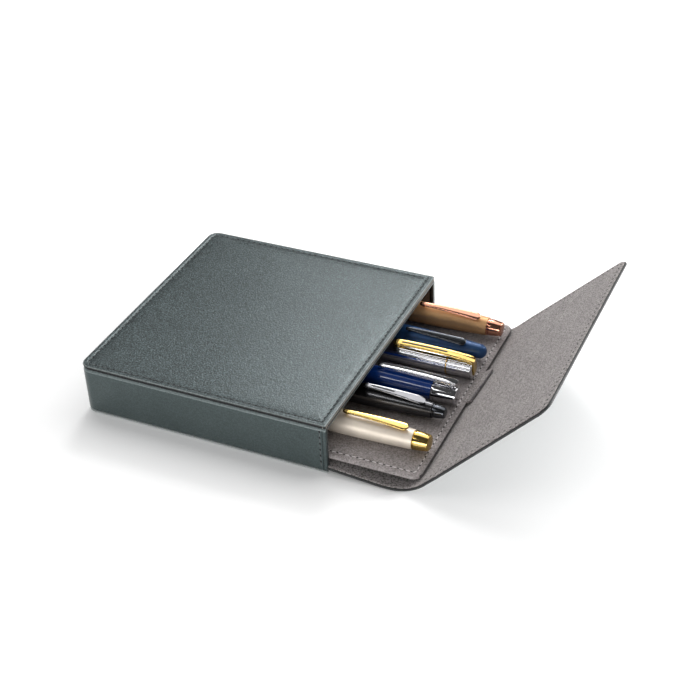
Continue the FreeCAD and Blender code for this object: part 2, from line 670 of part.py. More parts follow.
def pen_set():
    loops = []
    row = pens()
    foot = loop_foot(row)
    for pen in row:
        cap_solid = cap(pen)
        pieces = [cap_solid]
        if pen.finial_length:
            pieces.append(finial(pen))
        save(pen.name + "_clip", pen.laid(clip_solid(pen, pieces)))
        for name, piece in zip(("_cap", "_finial"), pieces):
            save(pen.name + name, pen.laid(piece))
        save(pen.name + "_barrel", pen.laid(barrel(pen)))
        loops.append(pen_loop(pen, foot))
    save("pen_loops", Part.makeCompound(loops))


def report_hinges():
    """Places of the flap's hinge lines and the angles of its full travel."""
    drop = math.degrees(FRONT_DROP)
    for name, point, angle in (
        ("root", ROOT, QUARTER_TURN + drop),
        ("fold", FOLD, QUARTER_TURN - drop),
        ("curve", CURVE_HINGE, FLAP_CLOSED_TILT - FLAP_RISE),
    ):
        print("%s hinge x %.4f z %.4f, closes by %.4f degrees" % (name, point.x, point.z, angle))


sleeve_panels()
side_band()
sleeve_boards()
sleeve_linings()
mouth_binding()
save("catch_plates", catch_plates())
flap_anchor()
flap()
tray()
pull_tab()
pen_set()
report_hinges()
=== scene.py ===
"""Looks of the leather pen case: stitched sleeve, wrap-over flap, suede tray, pull tab and six pens.

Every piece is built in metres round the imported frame. Sizes named here are millimetres unless they
say otherwise, and MM turns them into metres.
"""
import json
import math
from collections import namedtuple
import bmesh
import bpy
from mathutils import Matrix, Vector

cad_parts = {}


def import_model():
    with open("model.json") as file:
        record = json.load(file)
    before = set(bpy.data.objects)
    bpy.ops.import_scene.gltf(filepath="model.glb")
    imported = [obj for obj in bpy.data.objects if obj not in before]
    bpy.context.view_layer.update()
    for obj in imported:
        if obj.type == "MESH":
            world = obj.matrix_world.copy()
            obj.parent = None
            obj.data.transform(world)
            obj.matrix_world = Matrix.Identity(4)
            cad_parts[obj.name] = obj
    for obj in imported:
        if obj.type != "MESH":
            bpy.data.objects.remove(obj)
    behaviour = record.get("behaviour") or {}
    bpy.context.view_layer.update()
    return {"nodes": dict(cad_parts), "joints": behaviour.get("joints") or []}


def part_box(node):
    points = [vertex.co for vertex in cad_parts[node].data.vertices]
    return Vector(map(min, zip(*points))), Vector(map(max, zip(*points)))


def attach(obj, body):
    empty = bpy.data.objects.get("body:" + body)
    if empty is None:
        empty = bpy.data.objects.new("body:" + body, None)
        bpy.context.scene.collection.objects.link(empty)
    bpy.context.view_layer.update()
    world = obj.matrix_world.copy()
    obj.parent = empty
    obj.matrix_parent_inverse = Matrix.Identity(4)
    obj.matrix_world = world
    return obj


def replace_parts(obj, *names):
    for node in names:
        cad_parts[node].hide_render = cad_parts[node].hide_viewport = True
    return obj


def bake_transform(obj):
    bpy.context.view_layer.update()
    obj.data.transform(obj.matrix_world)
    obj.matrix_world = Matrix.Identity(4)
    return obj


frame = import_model()

MM = 0.001
NODES = frame["nodes"]
JOINTS = {joint["name"]: joint for joint in frame["joints"]}


def cad_box(node):
    """Lowest and highest corner of a CAD node, in millimetres."""
    low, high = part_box(node)
    return low / MM, high / MM


def fit(piece, body, *nodes):
    """Lets a piece stand for CAD nodes and ride on a body."""
    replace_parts(piece, *nodes)
    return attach(piece, body)


# Materials

def new_material(name):
    material = bpy.data.materials.new(name)
    material.use_nodes = True
    return material, material.node_tree, material.node_tree.nodes["Principled BSDF"]


def fill(tree, node, inputs):
    """Gives inputs of a node their values. A value may be the output of another node."""
    for name, value in inputs.items():
        if isinstance(value, bpy.types.NodeSocket):
            tree.links.new(value, node.inputs[name])
        else:
            node.inputs[name].default_value = value
    return node


def add_node(tree, kind, inputs, **settings):
    node = tree.nodes.new("ShaderNode" + kind)
    for name, value in settings.items():
        setattr(node, name, value)
    return fill(tree, node, inputs)


def object_coordinates(tree):
    return add_node(tree, "TexCoord", {}).outputs["Object"]


def noise(tree, size, detail=3.0, roughness=0.5, stretch=(1, 1, 1)):
    """Noise whose features are about size millimetres across."""
    mapping = add_node(tree, "Mapping", {"Scale": stretch, "Vector": object_coordinates(tree)})
    inputs = {"Scale": 1 / (size * MM), "Detail": detail, "Roughness": roughness}
    return add_node(tree, "TexNoise", {**inputs, "Vector": mapping.outputs[0]}).outputs["Fac"]


def cells(tree, size):
    """Distance from the middle of cells, for the pebbles of leather grain."""
    inputs = {"Scale": 1 / (size * MM), "Vector": object_coordinates(tree)}
    return add_node(tree, "TexVoronoi", inputs).outputs["Distance"]


def ramp(tree, factor, *stops):
    """Colour ramp between two stops. Each is a place from 0 to 1 and a linear colour, or a grey."""
    node = add_node(tree, "ValToRGB", {"Fac": factor})
    for element, (place, colour) in zip(node.color_ramp.elements, stops):
        element.position = place
        element.color = (*colour, 1) if isinstance(colour, tuple) else (colour, colour, colour, 1)
    return node.outputs["Color"]


NOISE_MIDDLE = (0.3, 0.7)     # most of a noise's values lie between these


def spread(tree, factor, low, high):
    """Maps the middle of a noise to the range from low to high."""
    inputs = {"From Min": NOISE_MIDDLE[0], "From Max": NOISE_MIDDLE[1], "To Min": low, "To Max": high}
    return add_node(tree, "MapRange", {**inputs, "Value": factor}).outputs["Result"]


def multiply(tree, factor, a, b):
    return add_node(tree, "Mix", {0: factor, 6: a, 7: b}, data_type="RGBA", blend_type="MULTIPLY").outputs[2]


def bump(tree, *layers):
    """Normal from several heights. Each layer is a height output and its depth in millimetres."""
    below = {}
    for height, depth in layers:
        node = add_node(tree, "Bump", {"Strength": 1.0, "Distance": depth * MM, "Height": height, **below})
        below = {"Normal": node.outputs["Normal"]}
    return below["Normal"]


LEATHER_GRAIN = 1.1
LEATHER_SPECKLE = 0.8


def leather_material(name, dark, light, speckle, depth):
    """Green-grey leather with a fine pebbled grain and a satin finish. Speckle is how much it shows."""
    material, tree, shader = new_material(name)
    patches = ramp(tree, noise(tree, 38.0, 2.0), (0.3, dark), (0.7, light))
    grain = cells(tree, LEATHER_GRAIN)
    fine = noise(tree, LEATHER_SPECKLE, 2.0)
    colour = multiply(tree, speckle, patches, ramp(tree, fine, (0.42, 0.03), (0.62, 1.0)))
    fill(tree, shader, {
        "Base Color": multiply(tree, speckle, colour, ramp(tree, grain, (0.2, 1.0), (0.7, 0.4))),
        "Roughness": spread(tree, noise(tree, 5.0, 4.0), 0.28, 0.36),
        "Specular IOR Level": 0.45,
        "Specular Tint": (0.80, 0.97, 1.0, 1.0),
        "Normal": bump(tree, (grain, -depth), (fine, depth * 0.8)),
    })
    return material


def suede_material(name, dark, light, fuzz):
    """Brushed microfibre: matt, mottled where the nap lies different ways, with a soft sheen."""
    material, tree, shader = new_material(name)
    nap = noise(tree, 1.0, 5.0, 0.7)
    mottle = noise(tree, 9.0, 4.0, 0.6, (1.0, 0.7, 1.0))
    shade = ramp(tree, mottle, (0.3, 0.80), (0.7, 1.0))
    fill(tree, shader, {
        "Base Color": multiply(tree, 1.0, ramp(tree, nap, (0.38, dark), (0.62, light)), shade),
        "Roughness": 0.95,
        "Specular IOR Level": 0.15,
        "Sheen Weight": fuzz,
        "Sheen Roughness": 0.45,
        "Normal": bump(tree, (nap, 0.16), (mottle, 0.10)),
    })
    return material


def plain_material(name, dark, light, size, roughness, depth):
    """Thread, board and other small matt surfaces."""
    material, tree, shader = new_material(name)
    speckle = noise(tree, size, 4.0, 0.6)
    fill(tree, shader, {
        "Base Color": ramp(tree, speckle, (0.35, dark), (0.65, light)),
        "Roughness": spread(tree, speckle, roughness - 0.05, roughness + 0.05),
        "Normal": bump(tree, (speckle, depth)),
    })
    return material


LEAST_BRUSHING = 0.0001


def metal_material(name, colour, roughness, brushed=LEAST_BRUSHING, metallic=1.0, coat=0.0):
    """Metal or lacquer. Brushed gives the depth of fine lines round the pen, in millimetres."""
    material, tree, shader = new_material(name)
    deep = tuple(c * 0.92 for c in colour)
    fill(tree, shader, {
        "Base Color": ramp(tree, noise(tree, 7.0, 2.0), (0.35, deep), (0.65, colour)),
        "Metallic": metallic,
        "Roughness": spread(tree, noise(tree, 1.6, 5.0), roughness * 0.85, roughness * 1.15),
        "Coat Weight": coat,
        "Coat Roughness": 0.04,
        "Normal": bump(tree, (noise(tree, 0.25, 2.0, 0.5, (1.0, 0.12, 0.12)), brushed)),
    })
    return material


LEATHER = leather_material("leather", (0.078, 0.106, 0.109), (0.104, 0.140, 0.144), 1.0, 0.09)
WALL_LEATHER = leather_material("wall_leather", (0.048, 0.064, 0.064), (0.060, 0.078, 0.078), 0.3, 0.025)
# Painted highlight on rounded leather edges.
HIGHLIGHT_LEATHER = plain_material("painted_highlight_leather", (0.10, 0.12, 0.12), (0.22, 0.25, 0.25), 1.2, 0.35, 0.03)
SUEDE = suede_material("suede", (0.10, 0.088, 0.086), (0.50, 0.46, 0.45), 0.25)
TRAY_SUEDE = suede_material("tray_suede", (0.19, 0.170, 0.167), (0.40, 0.366, 0.360), 0.2)
# Painted shade for suede.
SUEDE_SHADE = suede_material("suede_painted_shade", (0.05, 0.045, 0.045), (0.16, 0.15, 0.15), 0.1)
# Cut edge of suede, darkened with painted shade.
CUT_EDGE_SHADE = suede_material("cut_edge_painted_shade", (0.05, 0.045, 0.05), (0.26, 0.24, 0.245), 0.1)
LEATHER_THREAD = plain_material("leather_thread", (0.05, 0.06, 0.06), (0.12, 0.135, 0.135), 0.3, 0.55, 0.03)
SUEDE_THREAD = plain_material("suede_thread", (0.48, 0.45, 0.45), (0.74, 0.71, 0.71), 0.3, 0.7, 0.03)
FLAP_THREAD = plain_material("flap_thread", (0.30, 0.28, 0.275), (0.46, 0.43, 0.425), 0.3, 0.7, 0.03)
# Painted highlight on the shoulder of the side band.
SHOULDER_HIGHLIGHT = plain_material("shoulder_painted_highlight", (0.120, 0.148, 0.149), (0.160, 0.196, 0.197), 1.2, 0.30, 0.02)
# Painted highlight on the lip of the bottom panel.
FOOT_HIGHLIGHT = plain_material("foot_painted_highlight", (0.34, 0.37, 0.37), (0.48, 0.51, 0.51), 0.8, 0.5, 0.02)
# Black edge paint on cut leather, and painted shade under the top lip, in the mouth and in clip slots.
EDGE_PAINT_AND_SHADE = plain_material("edge_paint_and_painted_shade", (0.006, 0.007, 0.007), (0.016, 0.018, 0.018), 1.5, 0.55, 0.02)
# Painted shade, near black, for stitch holes and grooves.
HOLE_SHADE = plain_material("stitch_hole_painted_shade", (0.006, 0.006, 0.007), (0.02, 0.02, 0.022), 0.3, 0.9, 0.01)
BOARD = plain_material("board", (0.20, 0.18, 0.16), (0.34, 0.31, 0.27), 0.6, 0.85, 0.03)
ELASTIC = plain_material("elastic", (0.02, 0.02, 0.022), (0.05, 0.05, 0.055), 0.4, 0.8, 0.06)
GLIDE = plain_material("glide", (0.03, 0.03, 0.033), (0.05, 0.05, 0.055), 2.0, 0.45, 0.01)
STEEL = metal_material("steel", (0.52, 0.52, 0.54), 0.32, 0.004)
COPPER_SATIN = metal_material("copper_satin", (0.64, 0.37, 0.17), 0.46, 0.001, 0.5)
BLUE_MATTE = metal_material("blue_matte", (0.014, 0.058, 0.16), 0.36, metallic=0.35)
NAVY_GLOSS = metal_material("navy_gloss", (0.004, 0.034, 0.19), 0.20, metallic=0.0, coat=1.0)
GUNMETAL = metal_material("gunmetal", (0.10, 0.10, 0.105), 0.22, 0.002)
CHAMPAGNE_SATIN = metal_material("champagne_satin", (0.74, 0.66, 0.56), 0.46, 0.001, 0.5)
CHROME = metal_material("chrome", (0.60, 0.60, 0.62), 0.10)
GREY_CHROME = metal_material("grey_chrome", (0.30, 0.30, 0.315), 0.16)
GOLD = metal_material("gold", (0.66, 0.46, 0.15), 0.16)
ROSE_GOLD = metal_material("rose_gold", (0.62, 0.30, 0.20), 0.16)
DARK_STEEL = metal_material("dark_steel", (0.085, 0.09, 0.10), 0.20)


# Mesh building

SMOOTH_ANGLE = math.radians(38)
MERGE_DISTANCE = 1e-7         # metres


def build(name, points, faces, slot, *materials):
    """Piece from points in millimetres, with its normals outwards and its sharp edges kept.

    Its faces take the first of its materials until they are painted with another.
    """
    mesh = bpy.data.meshes.new(name)
    mesh.from_pydata([tuple(Vector(p) * MM) for p in points], [], faces)
    shape = bmesh.new()
    shape.from_mesh(mesh)
    bmesh.ops.remove_doubles(shape, verts=shape.verts, dist=MERGE_DISTANCE)
    bmesh.ops.recalc_face_normals(shape, faces=shape.faces)
    shape.to_mesh(mesh)
    shape.free()
    mesh.polygons.foreach_set("use_smooth", [True] * len(mesh.polygons))
    mesh.set_sharp_from_angle(angle=SMOOTH_ANGLE)
    for material in materials:
        mesh.materials.append(material)
    piece = bpy.data.objects.new(name, mesh)
    bpy.context.scene.collection.objects.link(piece)
    return piece


def loft(loops, cap_first=True, cap_last=True, round_trip=False):
    """Points and faces of a skin over closed loops of equal length."""
    count = len(loops[0])
    points = [p for loop in loops for p in loop]
    faces = []
    last = len(loops) if round_trip else len(loops) - 1
    for k in range(last):
        a = k * count
        b = (k + 1) % len(loops) * count
        for i in range(count):
            j = (i + 1) % count
            faces.append((a + i, a + j, b + j, b + i))
    if cap_first:
        faces.append(tuple(range(count)))
    if cap_last:
        faces.append(tuple(range((len(loops) - 1) * count, len(loops) * count)))
    return points, faces


def turns(start, end, steps):
    """Angles in radians, in even steps from one angle to another in degrees."""
    return [math.radians(start + (end - start) * step / steps) for step in range(steps + 1)]


def rounded_rectangle(low, high, radii, steps=8):
    """Closed loop of 2D points. Radii are those of the two corners at low x and the two at high x."""
    corners = (
        (low[0], low[1], radii[0], 180, 1, 1),
        (high[0], low[1], radii[1], 270, -1, 1),
        (high[0], high[1], radii[1], 0, -1, -1),
        (low[0], high[1], radii[0], 90, 1, -1),
    )
    points = []
    for x, y, radius, start, sx, sy in corners:
        points += arc_points((x + sx * radius, y + sy * radius), radius, start, start + 90, steps)
    return points


LEAST_RADIUS = 0.05


def plan_loop(low, high, radii, inset, z):
    """Outline of a flat panel drawn in by inset, at height z."""
    drawn = [max(r - inset, LEAST_RADIUS) for r in radii]
    flat = rounded_rectangle((low.x + inset, low.y + inset), (high.x - inset, high.y - inset), drawn)
    return [(x, y, z) for x, y in flat]


class Path:
    """Line in a plane, given by points, with places found by the distance along it."""

    def __init__(self, points):
        self.points = [Vector(p) for p in points]
        self.distances = [0.0]
        for a, b in zip(self.points, self.points[1:]):
            self.distances.append(self.distances[-1] + (b - a).length)
        runs = [(b - a).normalized() for a, b in zip(self.points, self.points[1:])]
        self.tangents = [runs[0]]
        self.tangents += [(a + b).normalized() for a, b in zip(runs, runs[1:])]
        self.tangents.append(runs[-1])
        self.length = self.distances[-1]

    def at(self, distance, height=0.0):
        """Point at a distance along the line and a height to the left of it."""
        last = len(self.points) - 2
        i = 0
        while i < last and self.distances[i + 1] < distance:
            i += 1
        share = (distance - self.distances[i]) / (self.distances[i + 1] - self.distances[i])
        point = self.points[i].lerp(self.points[i + 1], share)
        tangent = self.tangents[i].lerp(self.tangents[i + 1], min(max(share, 0), 1)).normalized()
        return point + Vector((-tangent.y, tangent.x)) * height


def arc_points(centre, radius, start, end, steps):
    """Points of an arc in degrees, counterclockwise from the first axis."""
    x, y = centre
    return [(x + radius * math.cos(a), y + radius * math.sin(a)) for a in turns(start, end, steps)]


def grain_of_rice(centre, along, across, up, semi, rings=4, sides=8):
    """Points and faces of a small ellipsoid, for a stitch or a stitch hole."""
    points = [centre - along * semi[0]]
    for ring in range(1, rings):
        angle = math.pi * ring / rings
        middle = centre - along * semi[0] * math.cos(angle)
        for side in range(sides):
            turn = 2 * math.pi * side / sides
            out = across * semi[1] * math.cos(turn) + up * semi[2] * math.sin(turn)
            points.append(middle + out * math.sin(angle))
    points.append(centre + along * semi[0])
    faces = []
    for side in range(sides):
        after = (side + 1) % sides
        faces.append((0, 1 + side, 1 + after))
        for ring in range(rings - 2):
            a = 1 + ring * sides
            faces.append((a + side, a + sides + side, a + sides + after, a + after))
        a = 1 + (rings - 2) * sides
        faces.append((a + side, len(points) - 1, a + after))
    return points, faces


def walk(points, pitch, closed):
    """Places at an even pitch along a line of 3D points, each with its direction."""
    line = [Vector(p) for p in points]
    if closed:
        line.append(line[0])
    lengths = [(b - a).length for a, b in zip(line, line[1:])]
    total = sum(lengths)
    count = round(total / pitch)
    places = []
    i = 0
    before = 0.0
    for k in range(count):
        distance = (k + 0.5) * total / count
        while before + lengths[i] < distance:
            before += lengths[i]
            i += 1
        along = (line[i + 1] - line[i]).normalized()
        places.append((line[i] + along * (distance - before), along))
    return places


STITCH_PITCH = 4.2
STITCH_SECTION = (0.31, 0.26) # half the width of the thread and its height
STITCH_SHARE = 0.66           # of the pitch that is thread
STITCH_SLANT = math.radians(7)
HOLE_SIZE = (0.80, 0.62, 0.10)


def stitch_row(name, points, up, thread, slot, closed=False):
    """Thread and holes of a row of stitches that lies on a surface facing up."""
    thread_parts = ([], [])
    hole_parts = ([], [])
    for place, along in walk(points, STITCH_PITCH, closed):
        turned = Matrix.Rotation(STITCH_SLANT, 3, up) @ along
        half = STITCH_PITCH * STITCH_SHARE / 2
        add_part(thread_parts, grain_of_rice(place, turned, up.cross(turned), up, (half, *STITCH_SECTION)))
        hole = place + along * STITCH_PITCH / 2
        add_part(hole_parts, grain_of_rice(hole, along, up.cross(along), up, HOLE_SIZE))
    threads = build(name + "_thread", *thread_parts, slot, thread)
    # The holes are flat lenses of painted shade.
    return threads, build(name + "_holes", *hole_parts, slot, HOLE_SHADE)


def add_part(parts, addition):
    """Adds points and faces to a mesh that is being gathered."""
    points, faces = parts
    first = len(points)
    points += addition[0]
    faces += [tuple(first + i for i in face) for face in addition[1]]


# Sleeve

REAR_RADIUS = 7.0
FRONT_RADIUS = 0.9
STITCH_INSET = 3.8
TOP_STITCH_DEPTH = 0.42
PANEL_EDGE_LEATHER = 1.8      # thinner leather has a shallower edge
# Section of a panel's edge: distance in from the edge and depth below the outer face.
PANEL_EDGE = ((14.0, 0.0), (10.0, 0.03), (7.5, 0.09), (6.0, 0.18), (4.9, 0.30), (4.2, 0.42),
              (3.8, TOP_STITCH_DEPTH + 0.05), (3.4, 0.40), (2.8, 0.24), (2.1, 0.14), (1.4, 0.14), (0.9, 0.22),
              (0.5, 0.38), (0.18, 0.62), (0.0, 0.92))
# Underside of the lip: how far in and how far below the outer face, as shares of the leather.
LIP_UNDERSIDE = ((0.05, 0.62), (0.3, 0.74), (1.3, 0.78), (1.3, 1.0))
HIGHLIGHT_EDGE = 0.9             # how far in from the edge the lip has a painted highlight


def sleeve_panel(name, upwards):
    """Leather with a rounded lip, a stitch channel and a slightly crowned field.

    Both lips have a painted highlight. The top's is near black below it: edge paint and painted shade.
    """
    low, high = cad_box(name + "_leather")
    outer = high.z if upwards else low.z
    sign = -1 if upwards else 1
    thickness = high.z - low.z
    radii = (REAR_RADIUS, FRONT_RADIUS)
    share = min(1.0, thickness / PANEL_EDGE_LEATHER)
    section = [(inset, depth * share) for inset, depth in PANEL_EDGE]
    section += [(inset, thickness * share_down) for inset, share_down in LIP_UNDERSIDE]
    loops = [plan_loop(low, high, radii, inset, outer + sign * depth) for inset, depth in section]
    # Each lip has a painted highlight along its rounding.
    rim = HIGHLIGHT_LEATHER if upwards else FOOT_HIGHLIGHT
    piece = build(name, *loft(loops), "grey_leather", LEATHER, rim, EDGE_PAINT_AND_SHADE)
    first = len([inset for inset, _ in PANEL_EDGE if inset > HIGHLIGHT_EDGE])
    edge = len(PANEL_EDGE) - 1
    light = (first, edge - 1) if upwards else (edge - 2, edge + 3)
    count = len(loops[0])
    for face in piece.data.polygons:
        rings = [vertex // count for vertex in face.vertices]
        if len(rings) != 4:
            continue
        if min(rings) >= light[0] and max(rings) <= light[1]:
            face.material_index = 1
        # The top lip's side and underside are near black: edge paint, and painted shade under the lip.
        elif upwards and min(rings) >= edge - 1:
            face.material_index = 2
    fit(piece, "sleeve", name + "_leather")


MOUTH_SEAM_ENDS = (2.6, 3.0)  # from the foot and the head of the side band


def sleeve_stitches():
    low, high = cad_box("top_panel_leather")
    row = plan_loop(low, high, (REAR_RADIUS, FRONT_RADIUS), STITCH_INSET, high.z - TOP_STITCH_DEPTH)
    pieces = [*stitch_row("top_stitches", row, Vector((0, 0, 1)), LEATHER_THREAD, "grey_leather", True)]
    low, high = cad_box("side_band_leather")
    x = high.x - STITCH_INSET
    for name, side, y in (("near", -1, low.y), ("far", 1, high.y)):
        out = y + side * BAND_FULLNESS
        row = [(x, out, low.z + MOUTH_SEAM_ENDS[0]), (x, out, high.z - MOUTH_SEAM_ENDS[1])]
        up = Vector((0, side, 0))
        pieces += stitch_row(name + "_mouth_stitches", row, up, LEATHER_THREAD, "grey_leather")
    for piece in pieces:
        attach(piece, "sleeve")


BAND_FULLNESS = 0.45          # how far the padded leather stands out, level with the lips
BAND_TOP_ROUND = (1.3, 2.2)   # how far in and how tall
BAND_FOOT_ROUND = (1.0, 1.2)
BAND_INNER = 1.55             # how far in the inside of the leather is
BAND_TOP_GROOVE = 1.3         # height of the groove under the lip, painted black as shade
BAND_FOOT_GROOVE = 0.4
BAND_HIGHLIGHT = (-0.05, 1.4)      # below the groove, where the shoulder has a painted highlight
BAND_CORNER = REAR_RADIUS - 0.4
# Crease along the mouth: distance from the mouth and depth.
BAND_MOUTH = ((0.0, 0.55), (0.25, 0.14), (0.8, 0.0), (1.6, 0.02), (2.0, 0.12), (2.3, 0.5), (2.6, 0.12),
              (3.2, 0.0), (8.0, 0.0))


def side_band():
    """Leather round the near, rear and far side, drawn in under the lips, with a creased mouth edge."""
    low, high = cad_box("side_band_leather")
    foot = low.z + BAND_FOOT_GROOVE
    head = high.z - BAND_TOP_GROOVE
    inset, rise = BAND_FOOT_ROUND
    section = [(inset, low.z)]
    section += [(inset * (1 - math.sin(a)), foot + rise * (1 - math.cos(a))) for a in turns(0, 90, 6)]
    section.append((0.0, (low.z + high.z) / 2))
    inset, rise = BAND_TOP_ROUND
    section += [(inset * (1 - math.cos(a)), head - rise * (1 - math.sin(a))) for a in turns(0, 90, 8)]
    section += [(inset, high.z), (BAND_INNER, high.z), (BAND_INNER, low.z)]
    rail = [(Vector((high.x - back, low.y)), Vector((0, 1)), crease) for back, crease in BAND_MOUTH]
    corner = Vector((low.x + BAND_CORNER, low.y + BAND_CORNER))
    for angle in turns(270, 180, 12):
        out = Vector((math.cos(angle), math.sin(angle)))
        rail.append((corner + out * BAND_CORNER, -out, 0.0))
    rail += [(Vector((p.x, -p.y)), Vector((n.x, -n.y)), crease) for p, n, crease in reversed(rail)]
    loops = []
    for point, inwards, crease in rail:
        loop = []
        for inset, z in section:
            place = point + inwards * (max(inset, min(inset + crease, BAND_INNER)) - BAND_FULLNESS)
            loop.append((place.x, place.y, z))
        loops.append(loop)
    piece = build("side_band", *loft(loops), "grey_leather", WALL_LEATHER, HOLE_SHADE, SHOULDER_HIGHLIGHT)
    for face in piece.data.polygons:
        heights = [piece.data.vertices[i].co.z / MM for i in face.vertices]
        # Painted shade: the grooves under the lip and above the foot are black.
        if min(heights) > head - 0.01 or max(heights) < foot + 0.01:
            face.material_index = 1
        # Painted highlight on the shoulder below the top groove.
        elif min(heights) > head - BAND_HIGHLIGHT[1] and max(heights) < head - BAND_HIGHLIGHT[0]:
            face.material_index = 2
    fit(piece, "sleeve", "side_band_leather")


RIM_FRONT = 0.16              # how far the rim stands out of the ends of the boards
RIM_MARGIN = 0.05             # between the outside of the rim and that of the boards
RIM_SIDE_REACH = 1.5          # past the binding into the opening
RIM_ROOF_REACH = 0.7
# Section of the rim: share of the way from its outer outline to its inner one, and height off the mouth.
RIM_SECTION = ((0.0, -1.6), (0.0, -0.3), (0.08, 0.0), (0.25, RIM_FRONT), (0.6, RIM_FRONT), (0.85, 0.05),
               (1.0, -0.35), (1.0, -2.6))
# rings between which the rim has a painted highlight along its inner rounding
HIGHLIGHT_RINGS = (4, 5)


def mouth_rim():
    """Turned leather round the mouth. It covers the ends of the boards and rounds into the opening."""
    low, high = cad_box("mouth_binding")
    roof, top = (corner.z for corner in cad_box("top_board"))
    foot, ground = (corner.z for corner in cad_box("bottom_board"))
    outer = (low.y - RIM_MARGIN, high.y + RIM_MARGIN, foot + RIM_MARGIN, top - RIM_MARGIN)
    inner = (low.y + RIM_SIDE_REACH, high.y - RIM_SIDE_REACH, ground, roof - RIM_ROOF_REACH)
    loops = []
    for share, x in RIM_SECTION:
        y0, y1, z0, z1 = (a + (b - a) * share for a, b in zip(outer, inner))
        flat = rounded_rectangle((y0, z0), (y1, z1), (0.5, 0.5), 4)
        loops.append([(high.x + x, y, z) for y, z in flat])
    # The rim is near black: edge paint at its front, and painted shade where it rounds into the opening.
    piece = build("mouth_rim", *loft(loops, False, False, True), "grey_leather", EDGE_PAINT_AND_SHADE, HIGHLIGHT_LEATHER)
    count = len(loops[0])
    for face in piece.data.polygons:
        rings = [vertex // count for vertex in face.vertices]
        if (min(rings), max(rings)) == HIGHLIGHT_RINGS:
            face.material_index = 1
    fit(piece, "sleeve", "mouth_binding")


POCKET_INNER = 0.5            # from the outside of the lining to its inside
POCKET_THICKNESS = 0.45
POCKET_FRONT = 0.6            # behind the front of the wall's lining
POCKET_CORNER = 1.2
# Rounded rear of the pocket: how far in from its walls and how far from its end.
POCKET_REAR = ((4.0, 0.0), (2.0, 0.4), (0.8, 1.3), (0.0, 4.0))
POCKET_FLATNESS = 0.4         # the roof and the floor are rounded by this share of the walls


def sleeve_lining():
    """Suede pocket inside the sleeve, with soft corners, open at the mouth."""
    low, high = cad_box("wall_lining")
    roof = cad_box("roof_lining")[0].z
    ground = cad_box("floor_lining")[1].z
    loops = []
    for thickness, order in ((POCKET_THICKNESS, 1), (0.0, -1)):
        back = low.x + POCKET_INNER - thickness
        rings = [(inset, back + x, thickness if x else 0.0) for inset, x in POCKET_REAR]
        rings.append((0.0, high.x - POCKET_FRONT, thickness))
        skin = []
        for inset, x, reach in rings:
            y = high.y - POCKET_INNER + reach - inset
            rise = reach - inset * POCKET_FLATNESS
            flat = rounded_rectangle((-y, ground - rise), (y, roof + rise), (POCKET_CORNER, POCKET_CORNER), 5)
            skin.append([(x, *p) for p in flat])
        loops += skin[::order]
    piece = build("sleeve_lining", *loft(loops), "suede", SUEDE_SHADE)
    fit(piece, "sleeve", "wall_lining", "roof_lining", "floor_lining")


# Flap

FLAP_RISE = 45.5
CURVE_RADIUS = 28.8
LINING_THICKNESS = 0.6
PANEL_LENGTH = 97.0
TAPER_START = 12.0
TAPER = 5.5
TIP_RADIUS = 8.0
TIP_STEPS = 12
FLAP_COLUMNS = 12
HALF_WIDTH = 85.0
THROAT_HALF_WIDTH = 82.0      # inside the sleeve
MOUTH_GAP = 0.4               # between the mouth and the root
BENT_ROW = 0.5                # from row to row where the flap bends
STRAIGHT_ROW = 9.0
THROAT_STEP = 0.3             # at the mouth, where the flap gets wider
ROOT_BEND = 4.0               # each side of the root
FOLD_BEND = 5.0               # before the fold
LEAD = 3.0                    # past the fold, where the last length starts

# Section of a sheet's edge: distance in from the edge and depth below its inner face.
LEATHER_RIM = ((1.1, 0.0), (0.5, 0.04), (0.18, 0.2), (0.0, 0.55), (0.0, 1.05), (0.18, 1.4), (0.5, 1.56),
               (1.1, 1.6))
LINING_RIM = ((1.7, 0.0), (1.0, 0.05), (0.78, 0.2), (0.7, 0.42), (0.85, 0.58))


def joint_place(name):
    return Vector(JOINTS[name]["pos_m"]) / MM


class FlapLine:
    """Line of the flap in section, on its lining side, from inside the sleeve to the tip."""

    def __init__(self):
        tongue = cad_box("flap_anchor_tongue")[0].x
        root = joint_place("flap_root_hinge")
        fold = joint_place("flap_fold_hinge")
        middle = joint_place("flap_curve_hinge")
        half = math.radians(FLAP_RISE / 2)
        start_x = middle.x - CURVE_RADIUS * math.sin(half)
        centre = (start_x, fold.z + CURVE_RADIUS)
        curve = arc_points(centre, CURVE_RADIUS, 270, 270 + FLAP_RISE, 24)
        rise = math.radians(FLAP_RISE)
        end = (curve[-1][0] + PANEL_LENGTH * math.cos(rise), curve[-1][1] + PANEL_LENGTH * math.sin(rise))
        self.path = Path([(tongue, root.z), (root.x, root.z), (fold.x, fold.z)] + curve + [end])
        self.mouth = root.x - MOUTH_GAP - tongue
        self.root = root.x - tongue
        self.fold = self.path.distances[2]
        self.curve = self.path.distances[3]
        self.panel = self.path.length - PANEL_LENGTH
        self.front_middle = (self.root + self.fold) / 2
        self.lead = self.fold + LEAD

    def half_width(self, distance):
        if distance < self.mouth:
            return THROAT_HALF_WIDTH
        along = max(0.0, distance - self.panel - TAPER_START)
        return HALF_WIDTH - TAPER * along / (PANEL_LENGTH - TAPER_START)

    def place(self, distance, y, depth):
        point = self.path.at(distance, -depth)
        return Vector((point.x, y, point.y))


def even_steps(start, end, step):
    count = max(1, math.ceil((end - start) / step))
    return [start + (end - start) * i / count for i in range(count + 1)]


